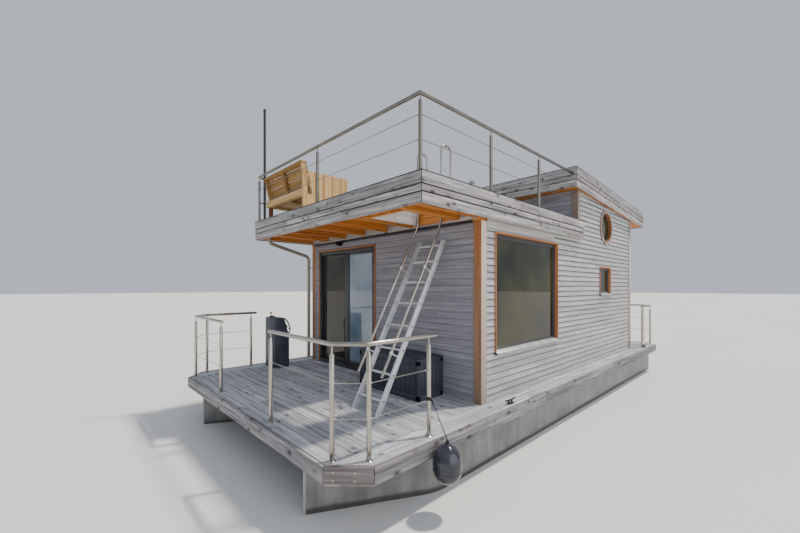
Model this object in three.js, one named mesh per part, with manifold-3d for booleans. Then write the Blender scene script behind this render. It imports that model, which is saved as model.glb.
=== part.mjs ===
// A houseboat on two steel pontoons: a timber cabin with a roof terrace, modelled in millimetres.
// X points to port, Y to the stern and Z up. The origin lies under the middle of the deck, on the
// plane of the pontoon bottoms; the boat floats with that plane 420 mm under water.
import * as THREE from 'three';
import { mergeVertices } from 'three/addons/utils/BufferGeometryUtils.js';
import Module from 'manifold-3d';

const wasm = await Module();
wasm.setup();

// Driving dimensions
const seat = 0.3; // gap between pieces that rest on each other
const pontoon = { centre: 1550, width: 1200, height: 900, bow: -4810, shoulder: -3630, stern: 4700 };
const deck = { halfBeam: 2330, bow: -4905, stern: 4905, chamfer: 300, top: 1070, board: 28, edge: 148 };
const well = { half: 380, front: 4060 };
const lap = { pitch: 87, lip: 10, recess: 7 };
const cabin = { half: 2025, front: -2650, rear: 3600, post: 115 };
const terrace = {
  half: 2095, front: -3800, rear: 385, fasciaRear: 525, bottom: 3380, top: 3721, floor: 3620, slab: 90,
};
const upper = { half: 2095, front: 145, rear: 4475, top: 4645, height: 355, pitch: 0.058 };
const fascia = { thick: 30, groove: 7, grooveDepth: 8, joints: [0.37, 0.61] };
const hatch = { x0: 1000, x1: 1650, y0: -3600, y1: -2700 };
const rail = { radius: 21, spigot: 7, spigotLength: 80, sides: 8 };
const ladder = {
  x: [1045, 1475], foot: -3866, lean: 0.555, topRise: 2080, rungRise: 272, topRung: 2011,
};
const glassThick = 24;
const wallOuter = cabin.half - lap.recess;
const wallInner = cabin.half - cabin.post;

const paint = {
  steel: { color: 0x6d7680, roughness: 0.5, metalness: 0.6 },
  stainless: { color: 0xb9b7b2, roughness: 0.25, metalness: 1 },
  aluminium: { color: 0xc3c6c8, roughness: 0.4, metalness: 1 },
  greyTimber: { color: 0x9a9796, roughness: 0.9, metalness: 0 },
  siding: { color: 0x97979f, roughness: 0.85, metalness: 0 },
  larch: { color: 0xb9793f, roughness: 0.7, metalness: 0 },
  pine: { color: 0xcfae79, roughness: 0.75, metalness: 0 },
  anthracite: { color: 0x30343a, roughness: 0.5, metalness: 0 },
  black: { color: 0x17181b, roughness: 0.5, metalness: 0 },
  glass: { color: 0x55686a, roughness: 0.05, metalness: 0 },
  zinc: { color: 0x8b9095, roughness: 0.5, metalness: 0.7 },
};

const houseboat = new THREE.Group();

function addPart(name, geometry, look) {
  const mesh = new THREE.Mesh(geometry, new THREE.MeshStandardMaterial(look));
  mesh.name = name;
  houseboat.add(mesh);
}

// Joining and cutting
function toSolid(geometry) {
  const bare = geometry.clone();
  bare.deleteAttribute('normal');
  bare.deleteAttribute('uv');
  const welded = mergeVertices(bare, 1e-3);
  const mesh = new wasm.Mesh({
    numProp: 3,
    vertProperties: Float32Array.from(welded.attributes.position.array),
    triVerts: Uint32Array.from(welded.index.array),
  });
  return new wasm.Manifold(mesh);
}

function toGeometry(solid) {
  const mesh = solid.getMesh();
  const geometry = new THREE.BufferGeometry();
  geometry.setAttribute('position', new THREE.BufferAttribute(mesh.vertProperties, 3));
  geometry.setIndex(new THREE.BufferAttribute(mesh.triVerts, 1));
  return geometry;
}

function join(...shapes) {
  const solids = shapes.map(toSolid);
  return toGeometry(solids.reduce((whole, solid) => whole.add(solid)));
}

function cut(shape, ...tools) {
  let solid = toSolid(shape);
  for (const tool of tools) {
    solid = solid.subtract(toSolid(tool));
  }
  return toGeometry(solid);
}

// Basic shapes, placed by their limits
function box(x0, x1, y0, y1, z0, z1) {
  const geometry = new THREE.BoxGeometry(x1 - x0, y1 - y0, z1 - z0);
  return geometry.translate((x0 + x1) / 2, (y0 + y1) / 2, (z0 + z1) / 2);
}

function extrude(points, depth) {
  const shape = new THREE.Shape(points.map(([x, y]) => new THREE.Vector2(x, y)));
  return new THREE.ExtrudeGeometry(shape, { depth, bevelEnabled: false });
}

// A plan outline (x, y) between two heights
function slab(points, z0, z1) {
  return extrude(points, z1 - z0).translate(0, 0, z0);
}

// A cross-section (x, z) run along the boat
function runAlong(points, y0, y1) {
  const turn = new THREE.Matrix4().makeRotationX(Math.PI / 2);
  return extrude(points, y1 - y0).applyMatrix4(turn).translate(0, y1, 0);
}

// Turns a shape drawn as (y, z) and extruded along z to stand across the boat
const acrossTurn = new THREE.Matrix4().makeBasis(
  new THREE.Vector3(0, 1, 0),
  new THREE.Vector3(0, 0, 1),
  new THREE.Vector3(1, 0, 0),
);

// A side profile (y, z) run across the boat
function runAcross(points, x0, x1) {
  return extrude(points, x1 - x0).applyMatrix4(acrossTurn).translate(x0, 0, 0);
}

// A round bar between two points
function bar(from, to, radius, sides = 8) {
  const start = new THREE.Vector3(...from);
  const end = new THREE.Vector3(...to);
  const way = end.clone().sub(start);
  const geometry = new THREE.CylinderGeometry(radius, radius, way.length(), sides);
  const turn = new THREE.Quaternion().setFromUnitVectors(new THREE.Vector3(0, 1, 0), way.normalize());
  geometry.applyQuaternion(turn);
  const middle = start.add(end).multiplyScalar(0.5);
  return geometry.translate(middle.x, middle.y, middle.z);
}

// Bars along a bent line, with a ball in each bend
function bentBar(points, radius, sides = 8) {
  const pieces = [];
  for (let i = 1; i < points.length; i += 1) {
    pieces.push(bar(points[i - 1], points[i], radius, sides));
    if (i > 1) {
      pieces.push(new THREE.SphereGeometry(radius, sides, 6).translate(...points[i - 1]));
    }
  }
  return pieces;
}

// The outline moved inwards by one distance, for corners in counterclockwise order
function inset(points, distance) {
  return points.map((corner, i) => {
    const before = points[(i + points.length - 1) % points.length];
    const after = points[(i + 1) % points.length];
    const a = new THREE.Vector2(corner[0] - before[0], corner[1] - before[1]).normalize();
    const b = new THREE.Vector2(after[0] - corner[0], after[1] - corner[1]).normalize();
    const share = distance / (1 + a.dot(b));
    return [corner[0] - (a.y + b.y) * share, corner[1] + (a.x + b.x) * share];
  });
}

// Hull and deck
function pontoonGeometry(side) {
  const middle = side * pontoon.centre;
  const half = pontoon.width / 2;
  const outline = [
    [middle, pontoon.bow],
    [middle + half, pontoon.shoulder],
    [middle + half, pontoon.stern],
    [middle - half, pontoon.stern],
    [middle - half, pontoon.shoulder],
  ];
  return slab(outline, 0, pontoon.height);
}

const deckOutline = [
  [-deck.halfBeam + deck.chamfer, deck.bow],
  [deck.halfBeam - deck.chamfer, deck.bow],
  [deck.halfBeam, deck.bow + deck.chamfer],
  [deck.halfBeam, deck.stern - deck.chamfer],
  [deck.halfBeam - deck.chamfer, deck.stern],
  [well.half, deck.stern],
  [well.half, well.front],
  [-well.half, well.front],
  [-well.half, deck.stern],
  [-deck.halfBeam + deck.chamfer, deck.stern],
  [-deck.halfBeam, deck.stern - deck.chamfer],
  [-deck.halfBeam, deck.bow + deck.chamfer],
];
const deckInside = inset(deckOutline, deck.board + seat);
const boardBottom = deck.top - deck.board;

function deckEdgeGeometry() {
  const outside = slab(deckOutline, deck.top - deck.edge, deck.top);
  const inside = slab(inset(deckOutline, deck.board), deck.top - deck.edge - 10, deck.top + 10);
  return cut(outside, inside);
}

function deckFrameGeometry() {
  const plate = slab(deckInside, pontoon.height + seat, boardBottom - seat);
  const bays = [];
  const bayCount = 8;
  const bayPitch = 1040;
  const beam = 110;
  const columns = [[-2190, -1620], [-1480, -60], [60, 1480], [1620, 2190]]; // x from, x to
  for (let i = 0; i < bayCount; i += 1) {
    const y0 = -4520 + i * bayPitch;
    for (const [x0, x1] of columns) {
      bays.push(box(x0, x1, y0, y0 + bayPitch - beam, pontoon.height, boardBottom));
    }
  }
  return cut(plate, ...bays);
}

// Walls with lapped boards: outline points (outward, height) from the foot to the eaves
function lappedProfile(outward, inward, foot, eaves) {
  const side = Math.sign(outward - inward);
  const points = [[inward, eaves], [inward, foot]];
  for (let z = foot; z < eaves; z += lap.pitch) {
    points.push([outward, z]);
    points.push([outward - side * lap.lip, Math.min(z + lap.pitch, eaves)]);
  }
  return points;
}

const wallFoot = deck.top + seat;
const eaves = 3350;
const roofFront = upper.top - upper.height + 15; // underside of the upper roof at its front edge

function roofUnder(y) {
  return roofFront - (y - upper.front) * upper.pitch;
}

function aboveUpperRoof() {
  const ends = [cabin.front - 100, cabin.rear + 100];
  const points = [
    [ends[0], roofUnder(ends[0]) - seat],
    [ends[1], roofUnder(ends[1]) - seat],
    [ends[1], 6000],
    [ends[0], 6000],
  ];
  return runAcross(points, -3000, 3000);
}

// Openings in the walls: low and high limits along the wall and in height
const pictureWindow = { y0: -2337, y1: -452, z0: 1655, z1: 3250 };
const smallWindow = { y0: 1510, y1: 2160, z0: 2360, z1: 2940 };
const roundWindow = { y: 1894, z: 3759, radius: 350, sides: 28 };
const frontDoor = { x0: -1770, x1: -30, z1: 3230 };
const rearDoor = { x0: -1640, x1: -760, z1: 3120 };

function disc(x0, x1, y, z, radius, sides) {
  const geometry = new THREE.CylinderGeometry(radius, radius, x1 - x0, sides);
  return geometry.rotateZ(Math.PI / 2).translate((x0 + x1) / 2, y, z);
}

function sideWallGeometry(side) {
  const top = roofUnder(cabin.front);
  const y0 = cabin.front + cabin.post + seat;
  const y1 = cabin.rear - cabin.post - seat;
  const profile = lappedProfile(side * wallOuter, side * wallInner, wallFoot, top);
  const x0 = Math.min(side * 1800, side * 2200);
  const x1 = Math.max(side * 1800, side * 2200);
  const round = roundWindow;
  return cut(
    runAlong(profile, y0, y1),
    aboveUpperRoof(),
    box(x0, x1, y0 - 10, terrace.rear, eaves, 6000),
    box(x0, x1, terrace.rear - 10, terrace.rear + cabin.post + seat, eaves, 6000),
    box(x0, x1, pictureWindow.y0, pictureWindow.y1, pictureWindow.z0, pictureWindow.z1),
    box(x0, x1, smallWindow.y0, smallWindow.y1, smallWindow.z0, smallWindow.z1),
    disc(x0, x1, round.y, round.z, round.radius, round.sides),
  );
}

function crossWall(face, inward, foot, top) {
  return runAcross(lappedProfile(face, inward, foot, top), -wallInner + seat, wallInner - seat);
}

function frontWallGeometry() {
  const wall = crossWall(cabin.front + lap.recess, cabin.front + cabin.post, wallFoot, eaves);
  const opening = box(frontDoor.x0, frontDoor.x1, cabin.front - 50, cabin.front + 300, 0, frontDoor.z1);
  return cut(wall, opening);
}

function rearWallGeometry() {
  const top = roofUnder(cabin.rear - cabin.post);
  const wall = crossWall(cabin.rear - lap.recess, cabin.rear - cabin.post, wallFoot, top);
  const opening = box(rearDoor.x0, rearDoor.x1, cabin.rear - 300, cabin.rear + 50, 0, rearDoor.z1);
  return cut(wall, aboveUpperRoof(), opening);
}

function clerestoryGeometry() {
  const top = roofUnder(terrace.rear);
  const wall = crossWall(terrace.rear + lap.recess, terrace.rear + cabin.post, eaves + seat, top);
  return cut(wall, aboveUpperRoof());
}

function postGeometry(side, y0, foot, top) {
  const x0 = Math.min(side * wallInner, side * cabin.half);
  return cut(box(x0, x0 + cabin.post, y0, y0 + cabin.post, foot, top), aboveUpperRoof());
}

// Roofs
function terraceRoofGeometry() {
  const reach = terrace.half - fascia.thick - seat;
  const front = terrace.front + fascia.thick + seat;
  const rear = terrace.rear - seat;
  const shell = [
    box(-reach, reach, front, rear, terrace.floor - terrace.slab, terrace.floor),
    box(-wallOuter, wallOuter, cabin.front - 20, rear, eaves + seat, terrace.floor - 1),
  ];
  const joist = { width: 60, pitch: 560, bottom: terrace.bottom + 13 };
  for (let i = 0; i <= 7; i += 1) {
    const x = Math.max(-reach, Math.min(reach - joist.width, -1990 + i * joist.pitch));
    shell.push(box(x, x + joist.width, front, cabin.front, joist.bottom, terrace.floor - 1));
  }
  shell.push(box(-reach, reach, front, front + joist.width, joist.bottom, terrace.floor - 1));
  for (const x of [hatch.x0 - joist.width, hatch.x1]) {
    shell.push(box(x, x + joist.width, front, cabin.front, joist.bottom, terrace.floor - 1));
  }
  return cut(join(...shell), box(hatch.x0, hatch.x1, hatch.y0, hatch.y1, 3000, 4000));
}

// Grooves between three boards, as cutters round a rectangle
function boardGrooves(half, front, rear, bottom, height) {
  const grooves = [];
  for (const share of fascia.joints) {
    const z = bottom + height * share;
    const outer = box(-half - 20, half + 20, front - 20, rear + 20, z, z + fascia.groove);
    const d = fascia.grooveDepth;
    const core = box(-half + d, half - d, front + d, rear - d, z - 5, z + fascia.groove + 5);
    grooves.push(cut(outer, core));
  }
  return grooves;
}

function terraceFasciaGeometry() {
  const { half, front, fasciaRear: rear, bottom, top } = terrace;
  const t = fascia.thick;
  const solid = box(-half, half, front, rear, bottom, top);
  const inside = box(-half + t, half - t, front + t, rear + 100, bottom - 10, top + 10);
  return cut(solid, inside, ...boardGrooves(half, front, rear + 200, bottom, top - bottom));
}

function tilted(geometry) {
  const shear = new THREE.Matrix4();
  shear.set(1, 0, 0, 0, 0, 1, 0, 0, 0, -upper.pitch, 1, upper.pitch * upper.front, 0, 0, 0, 1);
  return geometry.applyMatrix4(shear);
}

function upperRoofGeometry() {
  const reach = upper.half - fascia.thick - seat;
  const front = upper.front + fascia.thick + seat;
  const rear = upper.rear - fascia.thick - seat;
  return tilted(box(-reach, reach, front, rear, roofFront, upper.top - 45));
}

function upperFasciaGeometry() {
  const { half, front, rear, top } = upper;
  const bottom = top - upper.height;
  const t = fascia.thick;
  const solid = box(-half, half, front, rear, bottom, top);
  const inside = box(-half + t, half - t, front + t, rear - t, bottom - 10, top + 10);
  return tilted(cut(solid, inside, ...boardGrooves(half, front, rear, bottom, upper.height)));
}

// Windows in the side walls
const lining = 25;
const sash = 55;

function windowFrameGeometry(side, { y0, y1, z0, z1 }) {
  const outer = cabin.half + 5;
  const x = [side * (wallInner + 3), side * outer].sort((a, b) => a - b);
  const rim = lining + sash;
  const ring = cut(
    box(x[0], x[1], y0 + seat, y1 - seat, z0 + seat, z1 - seat),
    box(x[0] - 9, x[1] + 9, y0 + rim, y1 - rim, z0 + rim, z1 - rim),
  );
  const sill = [side * (wallOuter + seat), side * (outer + 30)].sort((a, b) => a - b);
  return join(ring, box(sill[0], sill[1], y0 - 12, y1 + 12, z0 - 12, z0 + 6));
}

function paneGeometry(side, { y0, y1, z0, z1 }) {
  const rim = lining + sash + seat;
  const x = side * (wallInner + 45);
  return box(x - glassThick / 2, x + glassThick / 2, y0 + rim, y1 - rim, z0 + rim, z1 - rim);
}

function roundFrameGeometry(side) {
  const { y, z, radius, sides } = roundWindow;
  const x = [side * (wallInner + 3), side * (cabin.half + 5)].sort((a, b) => a - b);
  const hole = disc(x[0] - 9, x[1] + 9, y, z, radius - 50, sides);
  return cut(disc(x[0], x[1], y, z, radius - seat, sides), hole);
}

function roundPaneGeometry(side) {
  const { y, z, radius, sides } = roundWindow;
  const x = side * (wallInner + 45);
  return disc(x - glassThick / 2, x + glassThick / 2, y, z, radius - 50 - seat, sides);
}

// Sliding door: a fixed pane on the port side and a leaf that slides behind it
const slider = {
  jamb: 40, head: 60, sill: 70, thick: 36, trackGap: 12,
  fixedX0: -890, leafX0: -1700, leafX1: -870,
  fixedRim: { left: 124, right: 40, bottom: 75, top: 45 },
  leafRim: { left: 62, right: 115, bottom: 75, top: 50 },
};
const doorFace = cabin.front + 12;
const sillTop = deck.top + slider.sill;
const headBottom = frontDoor.z1 - lining - slider.head;
const fixedY = [doorFace + 8, doorFace + 8 + slider.thick];
const leafY = [fixedY[1] + slider.trackGap, fixedY[1] + slider.trackGap + slider.thick];

function doorFrameGeometry() {
  const x0 = frontDoor.x0 + seat;
  const x1 = frontDoor.x1 - seat;
  const y0 = cabin.front - 5;
  const y1 = cabin.front + cabin.post - 3;
  const rim = lining + slider.jamb;
  const surround = cut(
    box(x0, x1, y0, y1, wallFoot, frontDoor.z1 - seat),
    box(x0 + rim, x1 - rim, y0 - 9, y1 + 9, sillTop, headBottom),
  );
  const fixedX1 = x1 - rim;
  const { left, right, bottom, top } = slider.fixedRim;
  const fixedSash = cut(
    box(slider.fixedX0, fixedX1 + 5, fixedY[0], fixedY[1], sillTop - 5, headBottom + 5),
    box(slider.fixedX0 + left, fixedX1 - right, fixedY[0] - 9, fixedY[1] + 9, sillTop + bottom,
      headBottom - top),
  );
  return join(surround, fixedSash);
}

function fixedPaneGeometry() {
  const { left, right, bottom, top } = slider.fixedRim;
  const x0 = slider.fixedX0 + left + seat;
  const x1 = frontDoor.x1 - seat - lining - slider.jamb - right - seat;
  const y = (fixedY[0] + fixedY[1]) / 2;
  return box(x0, x1, y - 12, y + 12, sillTop + bottom + seat, headBottom - top - seat);
}

const leafBottom = sillTop + seat;
const leafTop = headBottom - 5;

function leafGeometry() {
  const { leafX0, leafX1, leafRim } = slider;
  const { left, right, bottom, top } = leafRim;
  return cut(
    box(leafX0, leafX1, leafY[0], leafY[1], leafBottom, leafTop),
    box(leafX0 + left, leafX1 - right, leafY[0] - 9, leafY[1] + 9, leafBottom + bottom, leafTop - top),
  );
}

function leafPaneGeometry() {
  const { leafX0, leafX1, leafRim } = slider;
  const { left, right, bottom, top } = leafRim;
  const x0 = leafX0 + left + seat;
  const x1 = leafX1 - right - seat;
  const y = (leafY[0] + leafY[1]) / 2;
  return box(x0, x1, y - 12, y + 12, leafBottom + bottom + seat, leafTop - top - seat);
}

// Rear door on three knuckle hinges
const rearHinge = { x: -1600, y: cabin.rear + 9, radius: 8, knuckle: 60, heights: [1330, 2080, 2830] };
const rearLeaf = { x0: -1594, x1: -806, y0: cabin.rear - 60, y1: cabin.rear, z0: 1140, z1: 3074 };

function knuckle(z0, z1, plateX0, plateX1) {
  const { x, y, radius } = rearHinge;
  const plate = box(plateX0, plateX1, cabin.rear - 2, y - 3, z0, z1);
  return join(bar([x, y, z0], [x, y, z1], radius), plate);
}

function rearDoorFrameGeometry() {
  const x0 = rearDoor.x0 + seat;
  const x1 = rearDoor.x1 - seat;
  const y0 = cabin.rear - cabin.post + 3;
  const surround = cut(
    box(x0, x1, y0, cabin.rear, wallFoot, rearDoor.z1 - seat),
    box(rearLeaf.x0 - 6, rearLeaf.x1 + 6, y0 - 9, cabin.rear + 9, rearLeaf.z0 - 5, rearLeaf.z1 + 6),
  );
  const half = rearHinge.knuckle / 2;
  const pins = rearHinge.heights.flatMap((z) => [
    knuckle(z - 2 * half, z - half - seat, -1625, rearHinge.x),
    knuckle(z + half + seat, z + 2 * half, -1625, rearHinge.x),
  ]);
  return join(surround, ...pins);
}

function rearDoorGeometry() {
  const { x0, x1, y0, y1, z0, z1 } = rearLeaf;
  const half = rearHinge.knuckle / 2;
  const barrels = rearHinge.heights.map((z) => knuckle(z - half, z + half, rearHinge.x, -1575));
  const grip = box(x1 - 110, x1 - 60, y1 - 2, y1 + 45, 2060, 2120);
  const light = box(x0 + 150, x1 - 150, y1 - 12, y1 + 9, 2200, z1 - 150);
  return cut(join(box(x0, x1, y0, y1, z0, z1), grip, ...barrels), light);
}

// Stainless rails
function railPost(x, y, foot, handrail) {
  const shoulder = handrail - rail.spigotLength;
  return [
    bar([x, y, foot], [x, y, shoulder], rail.radius, rail.sides),
    bar([x, y, shoulder - 5], [x, y, handrail - 5], rail.spigot, 6),
  ];
}

const deckHandrail = deck.top + 978;
const deckRailEnd = { middle: 45, side: 105 }; // how far a handrail runs past its last posts

function deckRailGeometry(side, end) {
  // end is -1 for the bow and 1 for the stern
  const posts = [[800, 4787], [2000, 4795], [2210, 4567], [2210, 3820]]; // x, distance from midships
  const place = ([x, y]) => [side * x, end * y];
  const solids = posts.flatMap((post) => railPost(...place(post), deck.top + seat, deckHandrail));
  const line = [
    [800 - deckRailEnd.middle, 4787],
    [2000, 4795],
    [2210, 4567],
    [2210, 3820 - deckRailEnd.side],
  ].map((corner) => [...place(corner), deckHandrail]);
  return join(...solids, ...bentBar(line, rail.radius, rail.sides));
}

const terraceHandrail = deck.top + 3465;

function terraceRailGeometry() {
  const x = 2020;
  const front = -3740;
  const foot = terrace.floor + seat;
  const posts = [[0, front]];
  for (const side of [-1, 1]) {
    for (const y of [front, -2430, -1120]) {
      posts.push([side * x, y]);
    }
  }
  const rear = upper.front - seat;
  const line = [[-x, rear], [-x, front], [x, front], [x, rear]];
  const handrail = line.map(([px, py]) => [px, py, terraceHandrail]);
  return join(
    ...posts.flatMap(([px, py]) => railPost(px, py, foot, terraceHandrail)),
    ...bentBar(handrail, rail.radius, rail.sides),
  );
}

// Ladder with a handrail on each side that loops over at the hatch
function ladderGeometry() {
  const z0 = deck.top;
  const rise = ladder.topRise;
  const run = rise * ladder.lean;
  const lowY = ladder.foot - 131; // handrail's line at the foot, in front of the stile
  const bendRise = 2305;
  const bendY = lowY + (bendRise - 73) * ladder.lean;
  const loopTop = 3345;
  const solids = [];
  for (const x of ladder.x) {
    const stile = [
      [ladder.foot - 38, z0 + seat],
      [ladder.foot + 38, z0 + seat],
      [ladder.foot + 38 + run, z0 + rise],
      [ladder.foot - 38 + run, z0 + rise],
    ];
    solids.push(runAcross(stile, x - 13, x + 13));
    const line = [
      [x, lowY + (430 - 73) * ladder.lean, z0 + 430],
      [x, bendY, z0 + bendRise],
      [x, bendY, z0 + loopTop - 60],
      [x, bendY + 50, z0 + loopTop],
      [x, bendY + 145, z0 + loopTop],
      [x, bendY + 195, z0 + loopTop - 60],
      [x, bendY + 195, terrace.floor + seat],
    ];
    solids.push(...bentBar(line, 16, 6));
    for (const height of [620, 1640]) {
      const y = ladder.foot + height * ladder.lean;
      solids.push(bar([x, y, z0 + height], [x, y - 131, z0 + height + 73], 9, 6));
    }
  }
  const rungHeights = [0, 1, 2, 3, 4, 5, 6].map((i) => 160 + i * ladder.rungRise);
  for (const height of [...rungHeights, ladder.topRung]) {
    const y = ladder.foot + height * ladder.lean;
    solids.push(bar([ladder.x[0], y, z0 + height], [ladder.x[1], y, z0 + height], 15, 6));
  }
  return join(...solids);
}

// Helm
const helm = { x0: -2090, x1: -1690, front: -3600, rear: -3320, height: 900, slopeTop: -3422 };
const wheelCentre = [-1890, -3290, deck.top + 730];
const wheelLean = Math.atan2(102, 330);

function helmGeometry() {
  const z0 = deck.top + seat;
  const z1 = deck.top + helm.height;
  const profile = [
    [helm.front, z0],
    [helm.rear, z0],
    [helm.rear, z1 - 330],
    [helm.slopeTop, z1],
    [helm.front, z1],
  ];
  const axis = [0, Math.cos(wheelLean), Math.sin(wheelLean)];
  const at = (distance) => wheelCentre.map((value, i) => value + axis[i] * distance);
  const shaft = bar(at(-90), at(-12), 14, 8);
  const lever = bar([helm.x0 + 90, helm.front + 80, z1 - 10], [helm.x0 + 90, helm.front + 70, z1 + 95], 9, 6);
  return join(runAcross(profile, helm.x0, helm.x1), shaft, lever);
}

function wheelGeometry() {
  const radius = 155;
  const rim = new THREE.TorusGeometry(radius - 10, 10, 6, 24);
  const hub = new THREE.CylinderGeometry(30, 30, 23.4, 12).rotateX(Math.PI / 2);
  const spokes = [0, 1, 2].map((i) => {
    const spoke = box(10, radius - 10, -9, 9, -5, 5);
    return spoke.rotateZ(Math.PI / 2 + (i * 2 * Math.PI) / 3);
  });
  const wheel = join(rim, hub, ...spokes);
  const turn = new THREE.Matrix4().makeRotationX(-(Math.PI / 2 - wheelLean));
  return wheel.applyMatrix4(turn).translate(...wheelCentre);
}

// Deck box
const deckBox = { x0: 200, x1: 1416, y0: -3140, y1: -2662, height: 510, lid: 40, wall: 22 };

function deckBoxGeometry() {
  const { x0, x1, y0, y1, height, wall } = deckBox;
  const z0 = deck.top + seat;
  const z1 = deck.top + height;
  const grooves = [];
  const grooveCount = 14;
  for (let i = 1; i < grooveCount; i += 1) {
    const x = x0 + ((x1 - x0) * i) / grooveCount;
    grooves.push(box(x - 6, x + 6, y0 - 10, y0 + 7, z0 + 80, z1 - 50));
  }
  for (let i = 1; i < 5; i += 1) {
    const y = y0 + ((y1 - y0) * i) / 5;
    grooves.push(box(x1 - 7, x1 + 10, y - 6, y + 6, z0 + 80, z1 - 50));
    grooves.push(box(x0 - 10, x0 + 7, y - 6, y + 6, z0 + 80, z1 - 50));
  }
  const inside = box(x0 + wall, x1 - wall, y0 + wall, y1 - wall, z0 + wall, z1 + 10);
  return cut(box(x0, x1, y0, y1, z0, z1), inside, ...grooves);
}

function deckBoxLidGeometry() {
  const { x0, x1, y0, y1, height, lid } = deckBox;
  const z0 = deck.top + height + seat;
  const profile = [
    [y0 - 12, z0],
    [y1, z0],
    [y1, z0 + lid * 0.6],
    [y1 - 60, z0 + lid],
    [y0 + 60, z0 + lid],
    [y0 - 12, z0 + lid * 0.6],
  ];
  return runAcross(profile, x0 - 12, x1 + 12);
}

// Timber bench on the terrace
const bench = { x0: -1915, x1: -560, back: -3655, front: -2800, seatHeight: 420, panel: 740, lean: 0.23 };

function benchGeometry() {
  const z = terrace.floor + seat;
  const { x0, x1, back, front, seatHeight, panel, lean } = bench;
  // side view of a board along the leaning back: how far from its bow face, and from and to which height
  const leaning = (near, far, low, high) => [
    [-3499 - low * lean + near, z + low],
    [-3499 - low * lean + far, z + low],
    [-3499 - high * lean + far, z + high],
    [-3499 - high * lean + near, z + high],
  ];
  const solids = [
    box(x0, x1, back, back + 40, z + 345, z + 455),
    box(x0, x1, back + 30, front, z + seatHeight - 75, z + seatHeight),
    box(x1 - 45, x1, back, front, z, z + panel),
    box(x0, x0 + 45, front - 70, front, z, z + seatHeight - 50),
    box(x0, x0 + 45, back + 40, back + 110, z, z + seatHeight - 50),
    runAcross(leaning(0, 100, 838, 878), x0, x1),
  ];
  for (const low of [370, 525, 680]) {
    solids.push(runAcross(leaning(70, 95, low, low + 140), x0, x1));
  }
  for (const x of [x0, (x0 + x1) / 2 - 22, x1 - 45]) {
    solids.push(runAcross(leaning(0, 72, 370, 850), x, x + 45));
  }
  return join(...solids);
}

// Mast pole, downpipe and lamp
function poleGeometry() {
  const x = -1945;
  const y = -3675;
  return bar([x, y, terrace.floor + seat], [x, y, deck.top + 4710], 22.5, 10);
}

function downpipeGeometry() {
  const x = -2062;
  const y = -2712;
  const foot = deck.top + 40;
  const line = [
    [-1890, -3615, terrace.floor - terrace.slab - seat],
    [-1890, -3615, eaves - 22],
    [x, y, deck.top + 2060],
    [x, y, foot],
  ];
  const clamps = [1400, 2900].map((z) => box(x, -cabin.half + 20, y, cabin.front - seat, z, z + 30));
  return join(...bentBar(line, 32, 8), ...clamps);
}

function lampGeometry() {
  const z = deck.top + 2250; // over the lip of the topmost board
  const face = cabin.front + lap.recess - seat;
  const mount = box(-1055, -965, face - 15, face, z - 25, z + 25);
  const head = new THREE.CylinderGeometry(38, 26, 90, 10).rotateX(1.2);
  return join(mount, head.translate(-1010, face - 50, z - 12));
}

// Fender on its lanyard, tied to the foremost side post of the port bow rail
const fenderRadius = 137.5;
const fenderCentre = [deck.halfBeam + fenderRadius + seat, -3850, 913];
const fenderHalf = 188;
const lanyardRadius = 6;

function fenderGeometry() {
  const profile = [
    [0, -190], [70, -172], [118, -120], [fenderRadius, -60], [fenderRadius, 15],
    [122, 75], [90, 125], [45, 162], [24, fenderHalf], [0, fenderHalf],
  ];
  const points = profile.map(([r, z]) => new THREE.Vector2(r, z));
  return new THREE.LatheGeometry(points, 16).rotateX(Math.PI / 2).translate(...fenderCentre);
}

function lanyardGeometry() {
  const [x, y, z] = fenderCentre;
  const eye = z + fenderHalf + seat;
  const postFace = 2210 + rail.radius + seat;
  const route = [
    [postFace, -3820, 1440],
    [postFace + 10, -3820, 1440],
    [postFace + 24, -3821, 1432],
    [postFace + 38, -3823, 1410],
    [2345, -3834, 1292],
    [2425, -3845, 1178],
    [x - 12, y, 1134],
    [x, y, eye + 16],
    [x, y, eye],
  ];
  const curve = new THREE.CatmullRomCurve3(route.map((point) => new THREE.Vector3(...point)));
  const section = new THREE.Shape();
  section.absarc(0, 0, lanyardRadius, 0, Math.PI * 2);
  return new THREE.ExtrudeGeometry(section, {
    extrudePath: curve, steps: 20, curveSegments: 4, bevelEnabled: false,
  });
}

// Outboard motor in the stern well
const tilt = { y: 4515, z: 960 };
const kingpin = { y: tilt.y + 50, radius: 32 };
const screw = { z: tilt.z - 740, front: tilt.y + 305, radius: 118 };

function outboardMountGeometry() {
  const inner = pontoon.centre - pontoon.width / 2 - seat;
  const plate = box(-inner, inner, tilt.y - 100, tilt.y - 50, 560, pontoon.height - 2);
  const cheek = [
    [tilt.y - 55, tilt.z - 330],
    [tilt.y - 10, tilt.z - 330],
    [tilt.y + 26, tilt.z - 20],
    [tilt.y + 26, tilt.z + 22],
    [tilt.y - 30, tilt.z + 28],
    [tilt.y - 125, tilt.z - 40],
    [tilt.y - 125, tilt.z - 150],
    [tilt.y - 55, tilt.z - 150],
  ];
  return join(plate, runAcross(cheek, -95, -80), runAcross(cheek, 80, 95));
}

function outboardSwivelGeometry() {
  const tube = bar([-80 + seat, tilt.y, tilt.z], [80 - seat, tilt.y, tilt.z], 18, 10);
  const housing = bar([0, kingpin.y, tilt.z - 330], [0, kingpin.y, tilt.z + 40], kingpin.radius, 12);
  const web = box(-22, 22, tilt.y - 5, kingpin.y, tilt.z - 250, tilt.z + 10);
  return join(tube, housing, web);
}

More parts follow.
